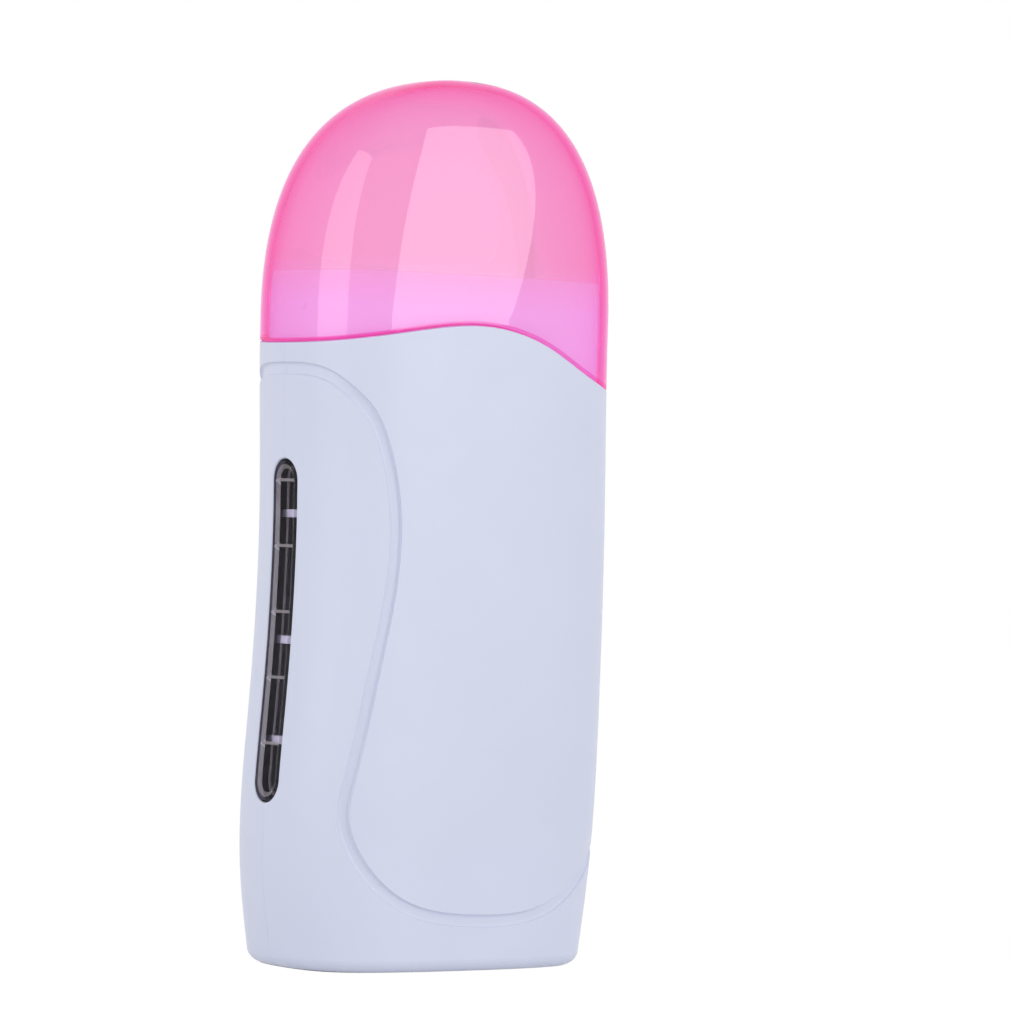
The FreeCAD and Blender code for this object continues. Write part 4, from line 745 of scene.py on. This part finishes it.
def ledge(side):
    """The level step between the S-shaped top edge and the collar."""
    rows = []
    for inset in np.linspace(EDGE_ROUND, COLLAR_INSET + LEDGE_OVERLAP, 4):
        p = place(TOP_UV[:, 0], TOP_UV[:, 1], inset, side)
        if inset > EDGE_ROUND:
            p[:, 2] = edge_height(p[:, 0])
        rows.append(p)
    return wall_piece(rows, side > 0)


SLOT_STEP = 0.2  # how far behind its rounding the slot's wall is level


def slot_wall(side):
    """The window slot's wall through one half."""
    uv = slot_uv(0)
    t = np.interp(uv[:, 0], U_TABLE, T_TABLE)
    z = uv[:, 1] + FOOT
    _, _, half_depth = section_size(z)
    y = side * unit_section(t)[1] * half_depth
    rows = [place(uv[:, 0], uv[:, 1], WINDOW_ROUND, side)]
    for inset in np.linspace(WINDOW_ROUND + SLOT_STEP, WALL, 3):
        rows.append(np.column_stack([left_x(y, z, inset), y, z]))
    return wall_piece(rows, side < 0)


def bore_wall(centre):
    """A screw bore's wall from the rear skin down to the screw head's seat."""
    uv = bore_uv(centre, SCREW_BORE)
    outer = place(uv[:, 0], uv[:, 1], BORE_ROUND, 1)
    inner = outer.copy()
    inner[:, 1] = SCREW_SEAT
    return wall_piece([outer, (outer + inner) / 2, inner], False)


def read_mesh(mesh):
    """A CAD mesh's points in millimetres, its triangles and their corner normals."""
    mesh.calc_loop_triangles()
    n = len(mesh.loop_triangles)
    points = np.empty(len(mesh.vertices) * 3, np.float32)
    corner = np.empty(len(mesh.loops) * 3, np.float32)
    faces = np.empty(n * 3, np.int32)
    loops = np.empty(n * 3, np.int32)
    mesh.vertices.foreach_get("co", points)
    mesh.corner_normals.foreach_get("vector", corner)
    mesh.loop_triangles.foreach_get("vertices", faces)
    mesh.loop_triangles.foreach_get("loops", loops)
    return points.reshape(-1, 3) / MM, faces.reshape(-1, 3), corner.reshape(-1, 3)[loops].reshape(-1, 3, 3)


SKIN_BAND = 0.3  # CAD points less deep than this belong to the outer skin
GROOVE_BAND = 2.0  # those this near to the groove's middle line belong to the groove
GROOVE_SLACK = 0.1
DEPTH_SLACK = 0.05
SLOT_SLACK = 0.06
BASE_SLACK = 0.001
PARTING_SLACK = 0.002


def inner_part(node):
    """The CAD node's faces that lie under the outer skin, with their own normals.

    What the skin, the ledge and the slot's wall stand in for is left out.
    """
    points, faces, normals = read_mesh(NODES[node].data)
    depth = depth_below(points)
    x, y, z = points.T
    foot = np.where(z < FOOT, FOOT - np.sqrt(np.maximum(FOOT**2 - (FOOT - z)**2, 0)), 0)
    under_skin = depth - foot > SKIN_BAND
    near_groove = np.zeros(len(points), bool)
    face_area = (depth < GROOVE_DEPTH + GROOVE_SLACK) & (z < SHOULDER) & (z > FOOT)
    uv = np.column_stack([u_of_x(x, z), z - FOOT])
    near_groove[face_area] = nearest(uv[face_area], LONG_GROOVE)[0] < GROOVE_BAND
    on_ledge = (np.abs(z - edge_height(x)) < DEPTH_SLACK) & (depth < COLLAR_INSET + DEPTH_SLACK)
    on_slot = (x < 0) & (np.abs(slot_inside(y, z)) < SLOT_SLACK) & (depth < WALL + DEPTH_SLACK)
    at_base = z < BASE_SLACK
    parting = np.abs(y) < PARTING_SLACK
    keep = under_skin[faces].all(1)
    for left_out in (near_groove, on_ledge, on_slot):
        keep &= ~left_out[faces].all(1)
    keep &= ~(parting[faces].all(1) & near_groove[faces].any(1))
    keep |= at_base[faces].all(1)
    return points, faces[keep], normals[keep]


LEVEL_SLACK = 0.01  # the ledge lies on the edge's height, and has the collar's lighter colour, with its painted light, too


def make_half(side, name, node):
    """One half of the housing as a single piece. What stands above the S-shaped edge has the collar's lighter colour:
    painted light for the light that reaches the collar under the cap.
    """
    parts = [skin(side), ledge(side), slot_wall(side), inner_part(node)]
    if side > 0:
        parts += [bore_wall(centre) for centre in SCREWS]
    start = 0
    faces = []
    for p, f, _ in parts:
        faces.append(f + start)
        start += len(p)
    points = np.concatenate([p for p, _, _ in parts])
    faces = np.concatenate(faces)
    normals = np.concatenate([n for _, _, n in parts])
    middle = points[faces].mean(1)
    piece = make_piece(name, "housing", (HOUSING, COLLAR_PAINTED_LIGHT), points, faces.tolist(), normals,
                       middle[:, 2] > edge_height(middle[:, 0]) - LEVEL_SLACK)
    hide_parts(node)


make_half(-1, "housing_front", "front_shell")
make_half(1, "housing_rear", "rear_shell")


# ---------------------------------------------------------------- cap

def ring_point(x, y, z, inset):
    """Points of the level section at z, moved in by inset, for unit section places x and y."""
    middle, half, half_depth = section_size(z)
    return np.stack([middle + x * (half - inset), y * (half_depth - inset), np.broadcast_to(z, x.shape)], axis=-1)


def dome_point(x, y, rise, inset):
    """Points of the dome from the shoulder (rise 0) to its top (rise 1)."""
    foot = ring_point(x, y, np.full_like(x, SHOULDER), inset)
    high = foot.copy()
    high[:, 2] = TOP - inset
    tip = np.array([LEAN, 0, TOP - inset])
    a, b, c = (1 - rise)**2, 2 * DOME * rise * (1 - rise), rise**2
    return (a * foot + b * high + c * tip) / (a + b + c)


DOME_ROWS = 61
WALL_ROWS = 12
RIM_ROWS = 7


def make_cap():
    """The clear cap as one closed skin with a rounded lower rim, whose faces are marked for the rim's deep pink, a
    painted glow of light guided through the wall.
    """
    x, y = unit_section(np.linspace(0, 2, 145))
    x = np.r_[x, x[-2:0:-1]]
    y = np.r_[-y, y[-2:0:-1]]

    def wall_end(inset):
        """Height at which the wall's rounding to the rim starts."""
        return edge_height(ring_point(x, y, np.full_like(x, EDGE_MIDDLE), inset)[:, 0]) + CAP_GAP + CAP_RIM

    low = wall_end(0.0)
    inner_low = wall_end(CAP_WALL)
    shares = np.linspace(0, 1, WALL_ROWS)[1:]
    outer = [dome_point(x, y, rise, 0.0) for rise in np.linspace(1, 0, DOME_ROWS)[1:]]
    outer += [ring_point(x, y, SHOULDER + (low + CAP_BAND - SHOULDER) * k, 0.0) for k in shares]
    rim = [ring_point(x, y, low - CAP_RIM * math.sin(turn), CAP_RIM * (1 - math.cos(turn)))
           for turn in np.linspace(0, math.pi / 2, RIM_ROWS)]
    rim += [ring_point(x, y, inner_low - CAP_RIM * math.sin(turn), CAP_WALL - CAP_RIM * (1 - math.cos(turn)))
            for turn in np.linspace(math.pi / 2, 0, RIM_ROWS)]
    inner = [ring_point(x, y, inner_low + (SHOULDER - inner_low) * k, CAP_WALL) for k in shares]
    inner += [dome_point(x, y, rise, CAP_WALL) for rise in np.linspace(0, 1, DOME_ROWS)[1:-1]]
    rows = outer + rim + inner

    points = np.concatenate(rows + [np.array([[LEAN, 0, TOP], [LEAN, 0, TOP - CAP_WALL]])])
    outer_tip = len(points) - 2
    inner_tip = len(points) - 1
    n = len(x)
    around = [(i, (i + 1) % n) for i in range(n)]
    faces = [(r * n + i, (r + 1) * n + i, (r + 1) * n + j, r * n + j)
             for r in range(len(rows) - 1) for i, j in around]
    last = (len(rows) - 1) * n
    for i, j in around:
        faces += [(outer_tip, i, j), (inner_tip, last + j, last + i)]
    piece = make_piece("cap_dome", "cap", (CAP,), points, faces)
    # The rim's faces get a deep pink: a painted glow of the light guided through the wall to its edge.
    painted_glow_faces = np.zeros(len(faces), np.float32)
    painted_glow_faces[(len(outer) - 1) * n:(len(outer) + len(rim) - 1) * n] = 1
    piece.data.attributes.new("rim", "FLOAT", "FACE").data.foreach_set("value", painted_glow_faces)
    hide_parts("cap")


make_cap()


# ---------------------------------------------------------------- window pane

PANE_BACK = 3.5
FLANGE = 2.0
BEVEL_INSIDE = 1.28
DISH_INSIDE = 2.32
SCALE_INSIDE = 1.754
SCALE_DEPTH = 0.55
SCALE_HEIGHTS = (51.0, 66.0, 81.0, 96.0, 111.0)
SCALE_HALF = 0.3
SCALE_SLOPE = 0.08
SCALE_REACH = 3.6
PANE_PROFILE = (  # distance inside the slot's outline, depth under the outer form
    (-FLANGE, 2.4), (0.095, 2.4), (0.105, 0.4), (0.135, 0.3), (0.2, 0.25), (1.13, 0.25), (BEVEL_INSIDE, 0.29),
    (SCALE_INSIDE, SCALE_DEPTH), (DISH_INSIDE, 0.86), (2.5, 0.9), (5.2, 0.9))


def pane_mesh():
    """The (y, z) points and triangles of the pane's face."""
    lines = [slot_line(-inside) for inside, _ in PANE_PROFILE[:-1]]
    across = np.linspace(-SCALE_REACH, SCALE_REACH, 13)
    for height in SCALE_HEIGHTS:
        for offset in (-SCALE_HALF - SCALE_SLOPE, -SCALE_HALF, SCALE_HALF, SCALE_HALF + SCALE_SLOPE):
            lines.append(np.column_stack([across, np.full_like(across, height + offset)]))
    filling = grid(np.linspace(-3.3, 3.3, 12), np.arange(40, 114, 1.3))
    yz, faces = triangulate(lines, filling)
    return only_used(yz, faces[inside_line(yz[faces].mean(1), slot_line(FLANGE))])


def pane_depth(y, z):
    """How deep under the outer form the pane's face lies."""
    depth = np.interp(slot_inside(y, z), *zip(*PANE_PROFILE))
    for height in SCALE_HEIGHTS:
        k = np.clip(1 - (np.abs(z - height) - SCALE_HALF) / SCALE_SLOPE, 0, 1)
        depth -= np.maximum(depth - SCALE_DEPTH, 0) * k
    return depth


def rim_walls(faces, shift):
    """Triangles that join the free edges of a mesh to those of its copy, whose points have numbers shift higher."""
    edges = dict.fromkeys(e for a, b, c in faces.tolist() for e in ((a, b), (b, c), (c, a)))
    walls = []
    for a, b in edges:
        if (b, a) not in edges:
            walls += [(b, a, a + shift), (b, a + shift, b + shift)]
    return np.array(walls)


def make_pane():
    """Clear window pane: a dished middle with raised scale lines inside a proud margin, and a rear flange. The margin
    and flange are darkened by painted shade, and the bevel has a pale painted reflection.
    """
    yz, rear_faces = pane_mesh()
    front_faces = rear_faces[:, ::-1]
    y, z = yz[:, 0], yz[:, 1]
    n = len(yz)
    n_front = len(front_faces)
    middle = yz[front_faces].mean(1)
    inside = slot_inside(middle[:, 0], middle[:, 1])
    on_line = np.abs(middle[:, 1, None] - SCALE_HEIGHTS).min(1) < SCALE_HALF + SCALE_SLOPE
    on_line &= inside > SCALE_INSIDE
    slope = (inside > BEVEL_INSIDE).astype(int) + (inside > DISH_INSIDE)
    points = np.concatenate([np.column_stack([left_x(y, z, pane_depth(y, z)), y, z]),
                             np.column_stack([left_x(y, z, PANE_BACK), y, z])])
    faces = np.concatenate([front_faces, rear_faces + n, rim_walls(front_faces, n)])
    finishes = (PANE_PAINTED_SHADE, BEVEL_PAINTED_REFLECTION, DISH, SCALE)
    finish = np.zeros(len(faces), np.int32)
    finish[:n_front] = np.where(on_line, finishes.index(SCALE), slope)
    finish[n_front:2 * n_front] = slope
    piece = make_piece("window_pane", "housing", finishes, points, faces.tolist(), finish=finish)
    piece.data.set_sharp_from_angle(angle=math.radians(20))
    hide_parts("sight_window")


make_pane()


# ---------------------------------------------------------------- studio

def hide_behind_clear(light):
    """Keeps a lamp out of sight through the clear cap, while its light still goes through."""
    light.use_nodes = True
    tree = light.node_tree
    path = add_node(tree, "LightPath", {})
    direct = add_math(tree, "LESS_THAN", path.outputs["Diffuse Depth"], 0.5)
    hidden = add_math(tree, "MULTIPLY", direct, path.outputs["Transmission Depth"], clamp=True)
    tree.links.new(add_math(tree, "SUBTRACT", 1.0, hidden), find_node(tree, "EMISSION").inputs["Strength"])


def softbox(name, azimuth, shift, height, width, length, roll, power):
    """A flat softbox one metre off. Azimuth 0 is in front and grows towards +X; shift and roll are in its plane."""
    light = bpy.data.lights.new(name, "AREA")
    light.shape = "RECTANGLE"
    light.size = width
    light.size_y = length
    light.energy = power
    lamp = bpy.data.objects.new(name, light)
    bpy.context.scene.collection.objects.link(lamp)
    turn = math.radians(azimuth)
    lean = math.radians(roll)
    out = Vector((math.sin(turn), -math.cos(turn), 0))
    level = Vector((math.cos(turn), math.sin(turn), 0))
    upright = Vector((0, 0, 1))
    across = math.cos(lean) * level - math.sin(lean) * upright
    along = math.sin(lean) * level + math.cos(lean) * upright
    at = out + shift * level + height * upright
    lamp.matrix_world = Matrix.Translation(at) @ Matrix((across, along, out)).transposed().to_4x4()
    lamp.visible_camera = False
    hide_behind_clear(light)


softbox("softbox_right", azimuth=25, shift=0.0825, height=0.72, width=0.605, length=1.6, roll=22, power=6.3)
softbox("softbox_left", azimuth=-84, shift=0.0, height=0.89, width=1.0, length=1.62, roll=0, power=7.35)


def seen_rays(tree):
    """1 for rays that see the background: camera, glossy and transmission rays."""
    path = add_node(tree, "LightPath", {})
    total = path.outputs["Is Camera Ray"]
    for name in ("Is Glossy Ray", "Is Transmission Ray"):
        total = add_math(tree, "MAXIMUM", total, path.outputs[name])
    return total


def make_world():
    """Even light from all round, and a full white background for the rays that see it."""
    world = bpy.data.worlds.new("studio")
    bpy.context.scene.world = world
    tree = empty_tree(world)
    sky = add_node(tree, "Background", {"Color": (1, 1, 1, 1), "Strength": 0.5})
    backdrop = add_node(tree, "Background", {"Color": (1, 1, 1, 1), "Strength": 1.0})
    mix = add_node(tree, "MixShader", {0: seen_rays(tree), 1: sky.outputs[0], 2: backdrop.outputs[0]})
    add_node(tree, "OutputWorld", {"Surface": mix.outputs[0]})


FLOOR = -0.05 * MM  # just under the foot, so that the two don't coincide
FLOOR_REACH = 6


def make_floor():
    """A wide floor that throws light up and is almost as white as the background to the rays that see it."""
    material = bpy.data.materials.new("studio_floor")
    tree = empty_tree(material)
    matte = add_node(tree, "BsdfDiffuse", {"Color": (0.85, 0.85, 0.86, 1)})
    glow = add_node(tree, "Emission", {"Color": (1, 1, 1, 1), "Strength": 1.03})
    share = add_math(tree, "MULTIPLY", seen_rays(tree), 0.95)
    mix = add_node(tree, "MixShader", {0: share, 1: matte.outputs[0], 2: glow.outputs[0]})
    add_node(tree, "OutputMaterial", {"Surface": mix.outputs[0]})
    mesh = bpy.data.meshes.new("studio_floor")
    corners = ((-1, -1), (1, -1), (1, 1), (-1, 1))
    mesh.from_pydata([(FLOOR_REACH * x, FLOOR_REACH * y, FLOOR) for x, y in corners], [], [(0, 1, 2, 3)])
    mesh.materials.append(material)
    floor = bpy.data.objects.new("studio_floor", mesh)
    bpy.context.scene.collection.objects.link(floor)


make_world()
make_floor()


# ---------------------------------------------------------------- camera, fitted to the photograph

VIEW_AZIMUTH = math.radians(34.18)
VIEW_ELEVATION = math.radians(0.28)
VIEW_DISTANCE = 1.1957
VIEW_ROLL = math.radians(1.751)
FOCAL_PIXELS = 5149.7
IMAGE = 1010
AIM = Vector((0, 0, 0.1025))
AIM_PIXEL = (428.8, 521.0)


def make_camera():
    """A camera that shows the point AIM at AIM_PIXEL."""
    away = Vector((-math.sin(VIEW_AZIMUTH) * math.cos(VIEW_ELEVATION),
                   -math.cos(VIEW_AZIMUTH) * math.cos(VIEW_ELEVATION), math.sin(VIEW_ELEVATION)))
    right = (-away).cross(Vector((0, 0, 1))).normalized()
    up = right.cross(-away)
    tilted_right = math.cos(VIEW_ROLL) * right + math.sin(VIEW_ROLL) * up
    tilted_up = -math.sin(VIEW_ROLL) * right + math.cos(VIEW_ROLL) * up
    facing = Matrix((tilted_right, tilted_up, away)).transposed()
    wanted = Vector((AIM_PIXEL[0] - IMAGE / 2, IMAGE / 2 - AIM_PIXEL[1], -FOCAL_PIXELS)).normalized()
    facing = facing @ wanted.rotation_difference(Vector((0, 0, -1))).to_matrix()
    lens = bpy.data.cameras.new("camera")
    lens.sensor_width = 36
    lens.lens = FOCAL_PIXELS * lens.sensor_width / IMAGE
    lens.clip_start = 0.05
    lens.clip_end = 30
    camera = bpy.data.objects.new("camera", lens)
    bpy.context.scene.collection.objects.link(camera)
    camera.matrix_world = Matrix.Translation(AIM + away * VIEW_DISTANCE) @ facing.to_4x4()
    bpy.context.scene.camera = camera


make_camera()

bpy.context.scene.view_settings.view_transform = "Standard"
